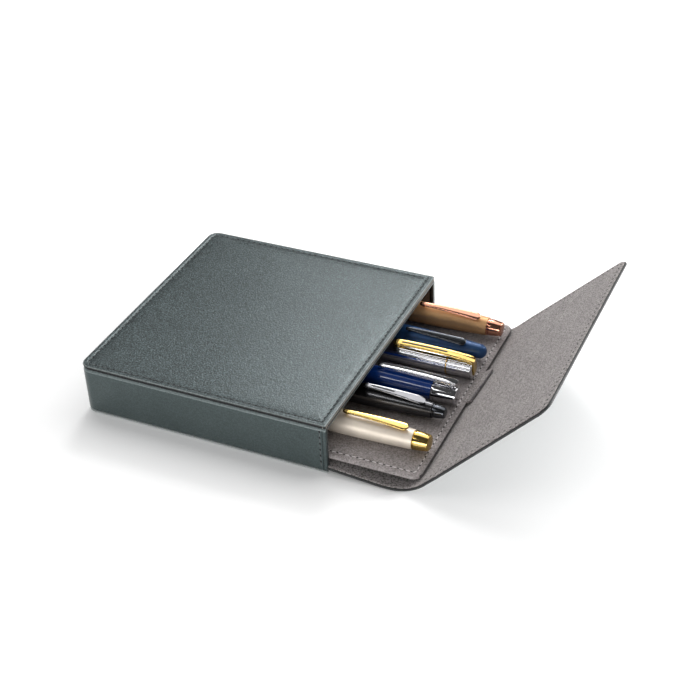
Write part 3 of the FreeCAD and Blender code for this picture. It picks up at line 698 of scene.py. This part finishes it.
def flap_rows(line, start, end):
    """Distances of the rows of a stretch, closer together where it bends."""
    rows = set()
    marks = [start, line.mouth, line.mouth + THROAT_STEP, line.root - ROOT_BEND, line.root + ROOT_BEND,
             line.fold - FOLD_BEND, line.lead, line.curve, line.panel, line.panel + TAPER_START, end]
    marks = sorted(m for m in set(marks) if start <= m <= end)
    for a, b in zip(marks, marks[1:]):
        middle = (a + b) / 2
        bends = abs(middle - line.root) < ROOT_BEND or abs(middle - line.fold) < FOLD_BEND
        bends = bends or line.curve < middle < line.panel
        rows.update(round(d, 4) for d in even_steps(a, b, BENT_ROW if bends else STRAIGHT_ROW))
    return sorted(rows)


def across(half):
    """Places across the flap, from its near edge to its far one."""
    return [half * (2 * c / FLAP_COLUMNS - 1) for c in range(FLAP_COLUMNS + 1)]


def sheet_piece(name, line, start, end, rim, depth, tip, slot, *materials):
    """Stretch of the flap as a closed sheet with rounded long edges and, at the tip, round corners."""
    slope = math.atan2(TAPER, PANEL_LENGTH - TAPER_START)
    corner_span = TIP_RADIUS * (1 + math.sin(slope)) if tip else 0.0
    rows = flap_rows(line, start, end - corner_span)
    outline = [[(d, line.half_width(d) - inset) for d in rows] for inset, _ in rim]
    if tip:
        s = line.path.length - TIP_RADIUS
        y = line.half_width(rows[-1]) - TIP_RADIUS * math.cos(slope)
        for ring, (inset, _) in zip(outline, rim):
            r = TIP_RADIUS - inset
            for angle in turns(-math.degrees(slope), 90, TIP_STEPS)[1:]:
                ring.append((s + r * math.sin(angle), y + r * math.cos(angle)))
    top, low = outline[0], outline[-1]
    sides = list(zip(outline, rim))[1:-1]
    loops = []
    for i in range(len(top)):
        loop = [line.place(top[i][0], y, depth + rim[0][1]) for y in across(top[i][1])]
        loop += [line.place(*ring[i], depth + d) for ring, (_, d) in sides]
        loop += [line.place(low[i][0], -y, depth + rim[-1][1]) for y in across(low[i][1])]
        loop += [line.place(ring[i][0], -ring[i][1], depth + d) for ring, (_, d) in reversed(sides)]
        loops.append(loop)
    points, faces = loft(loops, True, not tip)
    body = len(loops[0]) * (len(loops) - 1)
    if tip:
        close_tip(points, faces, line, outline, rim, depth, body)
    piece = build(name, points, faces, slot, *materials)
    if rim == LEATHER_RIM:
        paint_edges(piece, len(loops[0]), body, tip)
    return piece


def close_tip(points, faces, line, outline, rim, depth, first):
    """Rounded edge across the tip, from the last row's inner face round to its outer face."""
    columns = FLAP_COLUMNS + 1
    size = len(rim) - 2
    before = list(range(first, first + columns))
    for k in range(1, len(rim) - 1):
        s, half = outline[k][-1]
        start = len(points)
        points += [line.place(s, y, depth + rim[k][1]) for y in across(half)[1:-1]]
        row = [first + 2 * columns + 2 * size - k, *range(start, len(points)), first + columns + k - 1]
        faces += [(before[c], before[c + 1], row[c + 1], row[c]) for c in range(FLAP_COLUMNS)]
        before = row
    low = list(range(first + columns + size, first + 2 * columns + size))[::-1]
    faces += [(before[c], before[c + 1], low[c + 1], low[c]) for c in range(FLAP_COLUMNS)]


def paint_edges(piece, count, body, tip):
    """Black paint on the cut edges of the leather: the sides of its rows, and the edge across the tip."""
    steps = len(LEATHER_RIM) - 1
    for face in piece.data.polygons:
        place = face.index % count
        side = FLAP_COLUMNS <= place < FLAP_COLUMNS + steps or place >= count - steps
        if (face.index < body and side) or (tip and face.index > body):
            face.material_index = 1


FLAP_STITCH_INSET = 3.6
FLAP_STITCH_START = 2.0       # along the straight panel


def flap_stitches(line):
    """Seam near the edge of the straight panel, through the lining."""
    corner = line.path.length - TIP_RADIUS
    corner_y = line.half_width(corner) - TIP_RADIUS
    radius = TIP_RADIUS - FLAP_STITCH_INSET
    rows = even_steps(line.panel + FLAP_STITCH_START, corner, 6.0)
    side = [(d, line.half_width(d) - FLAP_STITCH_INSET) for d in rows]
    side += [(corner + radius * math.sin(a), corner_y + radius * math.cos(a)) for a in turns(0, 90, 6)[1:]]
    rise = math.radians(FLAP_RISE)
    up = Vector((-math.sin(rise), 0, math.cos(rise)))
    points = [line.place(d, y, 0.0) for d, y in side + [(d, -y) for d, y in reversed(side)]]
    return stitch_row("flap_stitches", points, up, FLAP_THREAD, "suede")


ROOT_BLEND = 3.0              # each side of the root
FOLD_BLEND = (4.0, 2.0)       # before and after the fold
PANEL_BLEND = 6.0             # beyond the built-in curve


def flap():
    """Leather and lining in three lengths, which together look like one."""
    line = FlapLine()
    root = (line.root - ROOT_BLEND, line.root + ROOT_BLEND)
    fold = (line.fold - FOLD_BLEND[0], line.fold + FOLD_BLEND[1])
    curve = (line.lead, line.panel + PANEL_BLEND)
    for part, start, end, body, next_body, (blend_start, blend_end) in (
        ("front", 0.0, line.front_middle, "sleeve", "flap_front", root),
        ("fold", line.front_middle, line.lead, "flap_front", "flap_curve", fold),
        ("panel", line.lead, line.path.length, "flap_curve", "flap_panel", curve),
    ):
        tip = part == "panel"
        leather = sheet_piece("flap_leather_" + part, line, start, end, LEATHER_RIM, LINING_THICKNESS, tip,
                              "grey_leather", LEATHER, EDGE_PAINT_AND_SHADE)
        lining = sheet_piece("flap_lining_" + part, line, start, end, LINING_RIM, 0.0, tip, "suede", SUEDE)
        a = line.place(blend_start, 0, 0) * MM
        b = line.place(blend_end, 0, 0) * MM
        for piece, kind in ((leather, "_leather"), (lining, "_lining")):
            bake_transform(piece)
            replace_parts(piece, *(node + kind for node in (body, next_body) if node != "sleeve"))
        if part == "front":
            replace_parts(leather, "flap_anchor_tongue")
    for piece in flap_stitches(line):
        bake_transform(piece)


# Tray

TRAY_RADIUS = 6.0
TRAY_STITCH_INSET = 4.0
TRAY_STITCH_DEPTH = 0.12
TRAY_SHADE_BELOW = 2.0         # the underside and the edge below this depth have painted shade
FRONT_SHADE_BELOW = 0.4        # and the painted shade comes further up at the front
TRAY_FRONT_EDGE = 1.0
TRAY_FOOT_EDGE = 6            # place in the section from which the underside is rounded alike
TRAY_EDGE = ((7.0, 0.0), (5.0, 0.0), (4.4, 0.05), (4.0, TRAY_STITCH_DEPTH + 0.03), (3.6, 0.05), (2.6, 0.0),
             (1.5, 0.03), (0.8, 0.16), (0.3, 0.5), (0.05, 1.05), (0.0, 1.6))


def tray():
    """Board covered in suede, with rounded edges and a stitched border."""
    low, high = cad_box("tray_top_lining")
    low.z = cad_box("tray_bottom_lining")[0].z
    radii = (TRAY_RADIUS, TRAY_RADIUS)
    loops = [plan_loop(low, high, radii, inset, high.z - depth) for inset, depth in TRAY_EDGE]
    for inset, depth in reversed(TRAY_EDGE[TRAY_FOOT_EDGE:-1]):
        loops.append(plan_loop(low, high, radii, inset, low.z + depth))
    piece = build("tray_cover", *loft(loops), "suede", TRAY_SUEDE, SUEDE_SHADE)
    # Painted shade on the lower edge and the underside, higher up at the front.
    for face in piece.data.polygons:
        place = face.center / MM
        front = place.x > high.x - TRAY_FRONT_EDGE
        if place.z < high.z - (FRONT_SHADE_BELOW if front else TRAY_SHADE_BELOW):
            face.material_index = 1
    fit(piece, "tray", "tray_top_lining", "tray_bottom_lining", "tray_board")
    row = plan_loop(low, high, radii, TRAY_STITCH_INSET, high.z - TRAY_STITCH_DEPTH)
    for piece in stitch_row("tray_stitches", row, Vector((0, 0, 1)), SUEDE_THREAD, "suede", True):
        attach(piece, "tray")


TAB_WIDTH = 33.0
TAB_CENTRE_Y = 11.0
TAB_REACH = (2.6, 6.2)        # beyond the bend, at its near and far end
TAB_FULL_REACH = 1.1          # the far end's reach is come to before the end, by this factor
TAB_LEAN = 47.0
TAB_THICKNESS = 1.6
TAB_BEND_RADIUS = 4.0
TAB_BEND_BACK = 1.6           # from the hinge back to the start of the bend
TAB_ROOT = 1.8                # straight stretch before the bend
TAB_BEND_END = 1.5            # how far before the end of the bend the reach is counted from
TAB_STEM_ROWS = 6
TAB_RESERVE = 12.0            # length of the line beyond the bend
# Section of the free edge: distance back from it and share of half the thickness.
TAB_EDGE = ((0.5, 1.0), (0.15, 0.75), (0.0, 0.3))


def pull_tab():
    """Suede tongue sewn into the front edge of the tray. It leans up, taller at its far end."""
    root = joint_place("pull_tab_bend")
    lean = math.radians(TAB_LEAN)
    centre = (root.x - TAB_BEND_BACK, root.z + TAB_BEND_RADIUS)
    bend = arc_points(centre, TAB_BEND_RADIUS, 270, 270 + TAB_LEAN, 8)
    end = (bend[-1][0] + TAB_RESERVE * math.cos(lean), bend[-1][1] + TAB_RESERVE * math.sin(lean))
    path = Path([(bend[0][0] - TAB_ROOT, bend[0][1])] + bend + [end])
    free = path.distances[-2] - TAB_BEND_END
    half = TAB_THICKNESS / 2
    half_width = TAB_WIDTH / 2
    corner = TAB_REACH[1] / 2
    columns = even_steps(-half_width, half_width - corner, 2.5)
    columns += [half_width - corner + corner * math.sin(a) for a in turns(10, 80, 7)]
    loops = []
    for y in columns:
        share = min(1.0, (y + half_width) / TAB_WIDTH * TAB_FULL_REACH)
        reach = TAB_REACH[0] + (TAB_REACH[1] - TAB_REACH[0]) * share
        over = max(0.0, y - (half_width - corner))
        reach -= corner - math.sqrt(max(corner ** 2 - over ** 2, 0.0))
        side = [(free * k / TAB_STEM_ROWS, half) for k in range(TAB_STEM_ROWS + 1)]
        side += [(free + reach - back, half * part) for back, part in TAB_EDGE]
        side += [(s, -h) for s, h in reversed(side)]
        loops.append([(path.at(s, h).x, TAB_CENTRE_Y + y, path.at(s, h).y) for s, h in side])
    piece = build("pull_tab_suede", *loft(loops), "suede", SUEDE, CUT_EDGE_SHADE)
    outwards = Vector((math.cos(lean), 0, math.sin(lean)))
    # The free end, facing out, is darkened with painted shade.
    for face in piece.data.polygons:
        if face.normal.dot(outwards) > 0.5 and face.center.x / MM > bend[-1][0]:
            face.material_index = 1
    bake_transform(piece)
    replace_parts(piece, "pull_tab")


# Pens

LATHE_SIDES = 72
RIB_SIDES = 6                 # faces to each rib
RIB_DEPTH = 0.10


def node_radius(node):
    """Radius of a round CAD node that lies along X."""
    low, high = cad_box(node)
    return (high.y - low.y) / 2


def pen_axis(pen):
    low, high = cad_box(pen + "_cap")
    return (low + high) / 2


def lathe(pen, name, profile, material, slot, ribs=0):
    """Turned piece of a pen. The profile holds places along X and radii, and ends on the axis or closes."""
    axis = pen_axis(pen)
    sides = ribs * RIB_SIDES if ribs else LATHE_SIDES
    loops = []
    for x, radius in profile:
        loop = []
        for side in range(sides):
            angle = 2 * math.pi * side / sides
            r = radius
            if ribs and radius > RIB_DEPTH:
                r -= RIB_DEPTH * (0.5 - 0.5 * math.cos(angle * ribs)) ** 2
            loop.append((x, axis.y + r * math.cos(angle), axis.z + r * math.sin(angle)))
        loops.append(loop)
    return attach(build(pen + "_" + name, *loft(loops), slot, material), pen)


def taper(x0, x1, r0, r1, power, steps=14):
    """Even curve of radius from r0 at x0 to r1 at x1."""
    shares = [step / steps for step in range(steps + 1)]
    return [(x0 + (x1 - x0) * t, r0 + (r1 - r0) * t ** power) for t in shares]


def rounded_end(x, radius, bevel, direction):
    """Quarter round from a side of the given radius to an end face at x."""
    back = direction * bevel
    return [(x - back * (1 - math.sin(a)), radius - bevel * (1 - math.cos(a))) for a in turns(0, 90, 5)]


RING_BEVEL = 0.25
RING_DEPTH = 1.0


def ring_profile(x0, x1, radius):
    """Raised ring with rounded corners."""
    foot = radius - RING_DEPTH
    ends = rounded_end(x0, radius, RING_BEVEL, -1)[::-1] + rounded_end(x1, radius, RING_BEVEL, 1)
    return [(x0, foot), *ends, (x1, foot)]


# Clip over the cap: widths and heights above the axis in millimetres, its turn in degrees, the height of
# its arch, the length of its slot, and the shape of its root: round, square, or a band over the cap's end.
CLIP_FIELDS = "tip_width width lift tip_lift turn arch material slot cut root"
Clip = namedtuple("Clip", CLIP_FIELDS, defaults=(0.0, "round"))
CLIP_THICKNESS = 1.1
CLIP_STEPS = 24
CORNER_ROOT = 0.7             # corner radius of a root that isn't round
CUT_WIDTH = 1.2
CUT_START = 6.0
BAND_BEND = 1.8
BAND_STEP = 3.0
BAND_REACH = 4.2              # below the axis
BUMP_TOP = 0.4                # how far the stud and the bump go into the blade
# Sections of a blade and of the strip in its slot: share of the way out and share of the thickness.
BLADE_SECTION = ((0.0, 0.96), (0.25, 1.0), (0.6, 0.94), (0.85, 0.78), (0.97, 0.5), (1.0, 0.3), (0.96, 0.08),
                 (0.8, 0.0), (0.0, 0.0))
STRIP_SECTION = ((0.0, 0.85), (0.95, 0.85), (1.0, 0.6), (0.95, 0.25), (0.0, 0.25))


def clip_path(clip, tip, root):
    """Line of the underside of the blade, from its tip to its root and, for a band, over the end."""
    points = []
    for step in range(CLIP_STEPS + 1):
        t = step / CLIP_STEPS
        z = clip.tip_lift + (clip.lift - clip.tip_lift) * t + clip.arch * 4 * t * (1 - t)
        points.append((tip + (root - tip) * t, z))
    if clip.root == "band":
        bend_x = root - BAND_BEND
        bend_z = clip.lift - BAND_BEND
        points = [p for p in points if p[0] < bend_x - 1.0]
        points += arc_points((bend_x, bend_z), BAND_BEND, 90, 0, 8)
        points += [(root, z) for z in (bend_z - BAND_STEP, bend_z - 2 * BAND_STEP, -BAND_REACH)]
    return Path(points)


def stadium(start, length, radii, halves, sides=16):
    """Outline of a blade: (distance, across) round its tip, down one side, round its root and back."""
    tip_r, root_r = radii
    tip_half, root_half = halves
    shares = [step / sides for step in range(1, sides)]
    run = length - tip_r - root_r
    side = [(start + tip_r + run * t, tip_half + (root_half - tip_half) * t) for t in shares]
    tip = [(start + tip_r + tip_r * math.cos(a), tip_half * math.sin(a)) for a in turns(90, 270, 10)]
    end = start + length - root_r
    root = [(end + root_r * math.cos(a), root_half * math.sin(a)) for a in turns(-90, 90, 10)]
    return tip + [(distance, -across) for distance, across in side] + root + side[::-1]


def line_outline(start, length):
    """Outline that is drawn together to a line."""
    return stadium(start, length, (0.01, 0.01), (0.0, 0.0))


def slot_outline(start, length, half):
    return stadium(start, length, (half, half), (half, half))


def blade_loops(path, inner, outer, section, turn):
    """Loops of a section that runs from one outline out to another."""
    loops = []
    for share, height in section:
        loop = []
        for (s0, v0), (s1, v1) in zip(inner, outer):
            flat = path.at(s0 + (s1 - s0) * share, height * CLIP_THICKNESS)
            loop.append(turn @ Vector((flat.x, v0 + (v1 - v0) * share, flat.y)))
        loops.append(loop)
    return loops


def make_clip(pen, *fields):
    """Crowned blade with a rounded tip, its slot where it has one, a stud and a bump under the tip."""
    clip = Clip(*fields)
    low, high = cad_box(pen + "_clip")
    axis = pen_axis(pen)
    radius = node_radius(pen + "_cap")
    path = clip_path(clip, low.x, high.x - CLIP_THICKNESS if clip.root == "band" else high.x)
    turn = Matrix.Translation((0, axis.y, axis.z)) @ Matrix.Rotation(math.radians(-clip.turn), 4, "X")
    half = clip.width / 2
    tip_half = clip.tip_width / 2
    root_r = half if clip.root == "round" else CORNER_ROOT
    outer = stadium(0.0, path.length, (tip_half, root_r), (tip_half, half))
    if clip.cut:
        inner = slot_outline(CUT_START, clip.cut, CUT_WIDTH / 2)
    else:
        inner = line_outline(half * 0.3, path.length - half * 0.6)
    parts = loft(blade_loops(path, inner, outer, BLADE_SECTION, turn), False, False, bool(clip.cut))
    bumps = [(low.x + 2.5, radius + 0.2, path.at(2.5).y, 1.3, 1.2)]
    if clip.root != "band":
        bumps.append((high.x - 3.0, radius - 1.6, clip.lift, 1.7, 1.15))
    for x, base, top, along, across in bumps:
        half_z = (top + BUMP_TOP - base) / 2
        axes = Vector((1, 0, 0)), Vector((0, 1, 0)), Vector((0, 0, 1))
        points, faces = grain_of_rice(Vector((x, 0, base + half_z)), *axes, (along, across, half_z), 8, 16)
        add_part(parts, ([turn @ p for p in points], faces))
    fit(build(pen + "_clip_blade", *parts, clip.slot, clip.material), pen, pen + "_clip")
    if clip.cut:
        # A near black strip fills the slot: painted shade of the gap under the blade.
        inner = line_outline(CUT_START + CUT_WIDTH / 2, clip.cut - CUT_WIDTH)
        outer = slot_outline(CUT_START - 0.1, clip.cut + 0.2, CUT_WIDTH / 2 + 0.1)
        strip = loft(blade_loops(path, inner, outer, STRIP_SECTION, turn), False, False)
        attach(build(pen + "_clip_slot_painted_shade", *strip, clip.slot, EDGE_PAINT_AND_SHADE), pen)


def pen_body(pen, material, slot, end_radius, power=2.2, ribs=0, dome=0.0):
    """Cap with a lip at its mouth and an even taper, and the slimmer barrel with its rounded tail."""
    low, high = cad_box(pen + "_cap")
    radius = node_radius(pen + "_cap")
    profile = [(low.x, 0.0), (low.x, radius - 0.35), (low.x + 0.12, radius - 0.1), (low.x + 0.4, radius)]
    profile += taper(low.x + 1.0, high.x - dome, radius, end_radius, power)
    if dome:
        profile += [(high.x - dome * (1 - math.sin(a)), end_radius * math.cos(a)) for a in turns(9, 90, 9)]
    else:
        profile.append((high.x, 0.0))
    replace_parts(lathe(pen, "cap_shell", profile, material, slot, ribs), pen + "_cap")
    low, high = cad_box(pen + "_barrel")
    radius = node_radius(pen + "_barrel")
    profile = [(high.x, 0.0), (high.x, radius)] + taper(high.x - 1, low.x + 4, radius, radius - 0.5, 1.6)
    profile += rounded_end(low.x, radius - 0.5, 1.6, -1) + [(low.x, 0.0)]
    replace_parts(lathe(pen, "barrel_shell", profile, material, slot, ribs), pen + "_barrel")


def finial(pen, r0, r1, groove, material, slot):
    """Tapered end piece with a groove near its root and a softly rounded end."""
    low, high = cad_box(pen + "_finial")
    end = (high.x - low.x) * 0.12
    foot = low.x + groove
    profile = [(low.x - 0.3, 0.0), (low.x - 0.3, r0 * 0.9), (low.x, r0 * 0.97), (low.x + 0.3, r0)]
    profile += [(foot, r0), (foot + 0.25, r0 - 0.45), (foot + 0.75, r0 - 0.45), (foot + 1.0, r0 - 0.1)]
    profile += taper(foot + 1.2, high.x - end, r0 - 0.1, r1 + 0.15, 1.3, 8)
    profile += rounded_end(high.x, r1 + 0.1, min(1.0, end), 1)[1:] + [(high.x, 0.0)]
    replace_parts(lathe(pen, "end", profile, material, slot), pen + "_finial")


PENS = ("copper_pen", "blue_pen", "ribbed_pen", "navy_pen", "gunmetal_pen", "champagne_pen")


def pens():
    """The six pens, from the near side to the far one, each with its end piece, rings and clip."""
    copper, blue, ribbed, navy, gunmetal, champagne = PENS
    pen_body(copper, COPPER_SATIN, "copper_satin", 5.8)
    finial(copper, 5.5, 4.5, 1.2, ROSE_GOLD, "rose_gold")
    make_clip(copper, 3.0, 5.8, 8.0, 9.2, -20.0, 0.7, ROSE_GOLD, "rose_gold")
    pen_body(blue, BLUE_MATTE, "blue_matte", 4.7, 1.8, dome=4.5)
    make_clip(blue, 2.6, 5.4, 7.0, 8.6, -26.0, 0.5, DARK_STEEL, "dark_steel")
    pen_body(ribbed, CHROME, "bright_metal", 6.2, ribs=30)
    low, high = cad_box(ribbed + "_finial")
    profile = [(low.x - 0.2, 0.0), (low.x - 0.2, 5.6), (low.x, 6.1), (low.x + 0.5, 6.2)]
    profile += [(high.x, 5.8), (high.x, 0.0)]
    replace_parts(lathe(ribbed, "end", profile, CHROME, "bright_metal"), ribbed + "_finial")
    end = cad_box(ribbed + "_cap")[1].x
    radius = node_radius(ribbed + "_cap")
    lathe(ribbed, "cap_ring", ring_profile(end - 16.0, end - 15.2, radius + 0.1), GOLD, "gold")
    make_clip(ribbed, 5.0, 5.6, 8.4, 9.0, -14.0, 1.0, GOLD, "gold", 30.0, "band")
    pen_body(navy, NAVY_GLOSS, "navy_gloss", 6.3)
    finial(navy, 6.35, 5.4, 1.6, CHROME, "chrome")
    make_clip(navy, 5.4, 5.8, 8.6, 9.2, 8.0, 0.6, CHROME, "chrome", 30.0, "square")
    pen_body(gunmetal, GUNMETAL, "gunmetal", 4.6)
    end = cad_box(gunmetal + "_cap")[1].x
    lathe(gunmetal, "end_ring", ring_profile(end - 0.8, end, 4.75), GUNMETAL, "gunmetal")
    finial(gunmetal, 4.2, 3.3, 1.0, DARK_STEEL, "dark_steel")
    make_clip(gunmetal, 3.2, 6.2, 6.2, 8.4, -12.0, 0.6, GREY_CHROME, "dark_steel", 15.0)
    pen_body(champagne, CHAMPAGNE_SATIN, "champagne_satin", 5.9)
    finial(champagne, 5.9, 4.9, 0.6, GOLD, "gold")
    make_clip(champagne, 3.0, 6.4, 8.0, 8.8, -5.0, 0.6, GOLD, "gold")


LOOP_THICKNESS = 0.8
LOOP_GAP = 0.3
LOOP_FOOT = 1.9               # length of the flat foot, beyond the bend
LOOP_BASE = 0.05              # above the tray


def pen_loops():
    """Woven elastic over each barrel, sewn down beside it."""
    low, high = cad_box("pen_loops")
    base = low.z + LOOP_BASE
    section = ((low.x, 0.15), (low.x + 0.25, 0.0), (high.x - 0.25, 0.0), (high.x, 0.15), (high.x, 0.65),
               (high.x - 0.25, LOOP_THICKNESS), (low.x + 0.25, LOOP_THICKNESS), (low.x, 0.65))
    parts = ([], [])
    for pen in PENS:
        axis = pen_axis(pen)
        over = arc_points((axis.y, axis.z), node_radius(pen + "_barrel") + LOOP_GAP, 180, 0, 20)
        near, far = over[0][0], over[-1][0]
        line = [(near - LOOP_FOOT, base), (near - 0.5, base), (near, base + 0.8)] + over
        path = Path(line + [(far, base + 0.8), (far + 0.5, base), (far + LOOP_FOOT, base)])
        add_part(parts, loft([[(x, *path.at(d, h)) for x, h in section] for d in path.distances]))
    fit(build("elastic_loops", *parts, "elastic", ELASTIC), "tray", "pen_loops")


BOARDS = ("bottom_board", "top_board", "near_wall_board", "far_wall_board", "rear_wall_board",
          "rear_corner_strips", "flap_board")
STEEL_NODES = ("catch_plates", "flap_magnets")


def finish_hidden_nodes():
    """Materials of the stiff pieces that stay as they are."""
    for nodes, material in ((BOARDS, BOARD), (STEEL_NODES, STEEL), (("tray_glides",), GLIDE)):
        for node in nodes:
            NODES[node].data.materials.clear()
            NODES[node].data.materials.append(material)


# Floor, lamps and camera

FLOOR_SIZE = 8.0              # metres
FLOOR_GREY = 0.95
FLOOR_GLOW = 0.06
FLOOR_DROP = -0.0002          # metres, so that the floor isn't level with the underside


def camera_ray(tree):
    """1 for rays from the camera and for those seen in gloss or glass, 0 for light that falls on things."""
    path = add_node(tree, "LightPath", {})
    total = path.outputs["Is Camera Ray"]
    for name in ("Is Glossy Ray", "Is Transmission Ray"):
        total = add_node(tree, "Math", {0: total, 1: path.outputs[name]}, operation="MAXIMUM").outputs[0]
    return total


def floor():
    """Plain floor: white where it is lit, and grey under the object."""
    material = bpy.data.materials.new("floor")
    material.use_nodes = True
    tree = material.node_tree
    tree.nodes.clear()
    diffuse = add_node(tree, "BsdfDiffuse", {"Color": (FLOOR_GREY, FLOOR_GREY, FLOOR_GREY, 1)})
    strength = add_node(tree, "Math", {0: camera_ray(tree), 1: FLOOR_GLOW}, operation="MULTIPLY")
    glow = add_node(tree, "Emission", {"Strength": strength.outputs[0]})
    total = add_node(tree, "AddShader", {0: diffuse.outputs[0], 1: glow.outputs[0]})
    add_node(tree, "OutputMaterial", {"Surface": total.outputs[0]})
    mesh = bpy.data.meshes.new("floor")
    half = FLOOR_SIZE / 2
    corners = [(-half, -half, 0), (half, -half, 0), (half, half, 0), (-half, half, 0)]
    mesh.from_pydata(corners, [], [(0, 1, 2, 3)])
    mesh.materials.append(material)
    plane = bpy.data.objects.new("floor", mesh)
    plane.location.z = FLOOR_DROP
    bpy.context.scene.collection.objects.link(plane)


WORLD_LIGHT = 0.24
BACKDROP_FADE = (0.05, 0.32)  # heights, as the sine of the elevation
OVERHEAD_GREY = 0.08


def world():
    """Even grey light all round. Camera, gloss and glass see a white backdrop that is greyer overhead."""
    scene_world = bpy.data.worlds.new("studio")
    scene_world.use_nodes = True
    bpy.context.scene.world = scene_world
    tree = scene_world.node_tree
    direction = add_node(tree, "SeparateXYZ", {0: add_node(tree, "TexCoord", {}).outputs["Generated"]})
    low, high = BACKDROP_FADE
    fade = {"From Min": low, "From Max": high, "To Min": 1.0, "To Max": OVERHEAD_GREY}
    backdrop = add_node(tree, "MapRange", {**fade, "Value": direction.outputs["Z"]}).outputs["Result"]
    light = add_node(tree, "MapRange", {"To Min": WORLD_LIGHT, "To Max": backdrop, "Value": camera_ray(tree)})
    fill(tree, tree.nodes["Background"], {"Color": (1, 1, 1, 1), "Strength": light.outputs["Result"]})


def lamp(name, place, target, size, power):
    """Soft rectangular lamp at a place, facing a target. Metres and watts."""
    data = bpy.data.lights.new(name, "AREA")
    data.shape = "RECTANGLE"
    data.size, data.size_y = size
    data.energy = power
    obj = bpy.data.objects.new(name, data)
    obj.location = place
    obj.rotation_euler = (Vector(target) - Vector(place)).to_track_quat("-Z", "Y").to_euler()
    bpy.context.scene.collection.objects.link(obj)


def lamps():
    lamp("back_softbox", (-0.25, 0.95, 0.89), (0.05, 0.0, 0.0), (0.40, 0.30), 5.2)
    lamp("top_softbox", (0.0, 0.75, 1.45), (0.0, 0.0, 0.0), (2.6, 1.2), 19)
    lamp("edge_strip", (-0.45, -0.62, 1.0), (0.0, -0.05, 0.0), (0.8, 0.10), 2)
    lamp("right_softbox", (1.25, 0.80, 0.45), (0.1, 0.0, 0.0), (1.2, 0.6), 30)
    lamp("front_fill", (0.3, -1.5, 0.26), (0.0, 0.0, 0.0), (1.6, 0.4), 13)


CAMERA_PLACE = (0.37244, -0.65243, 0.53664)
CAMERA_AZIMUTH = 25.62        # degrees from straight in front of the near side, towards the mouth
CAMERA_ELEVATION = 35.21
CAMERA_ROLL = -2.54
CAMERA_LENS = 73.73
CAMERA_SENSOR = 36.0


def camera():
    """Camera fitted to the edges of the sleeve in the photograph."""
    data = bpy.data.cameras.new("camera")
    data.lens = CAMERA_LENS
    data.sensor_width = CAMERA_SENSOR
    obj = bpy.data.objects.new("camera", data)
    turn = Matrix.Rotation(math.radians(CAMERA_AZIMUTH), 4, "Z")
    tilt = Matrix.Rotation(math.radians(90 - CAMERA_ELEVATION), 4, "X")
    roll = Matrix.Rotation(math.radians(CAMERA_ROLL), 4, "Z")
    obj.matrix_world = Matrix.Translation(CAMERA_PLACE) @ turn @ tilt @ roll
    bpy.context.scene.collection.objects.link(obj)
    bpy.context.scene.camera = obj


camera()
sleeve_panel("top_panel", True)
sleeve_panel("bottom_panel", False)
side_band()
mouth_rim()
sleeve_lining()
sleeve_stitches()
flap()
tray()
pull_tab()
pens()
pen_loops()
finish_hidden_nodes()
floor()
world()
lamps()
bpy.context.scene.view_settings.view_transform = "Standard"
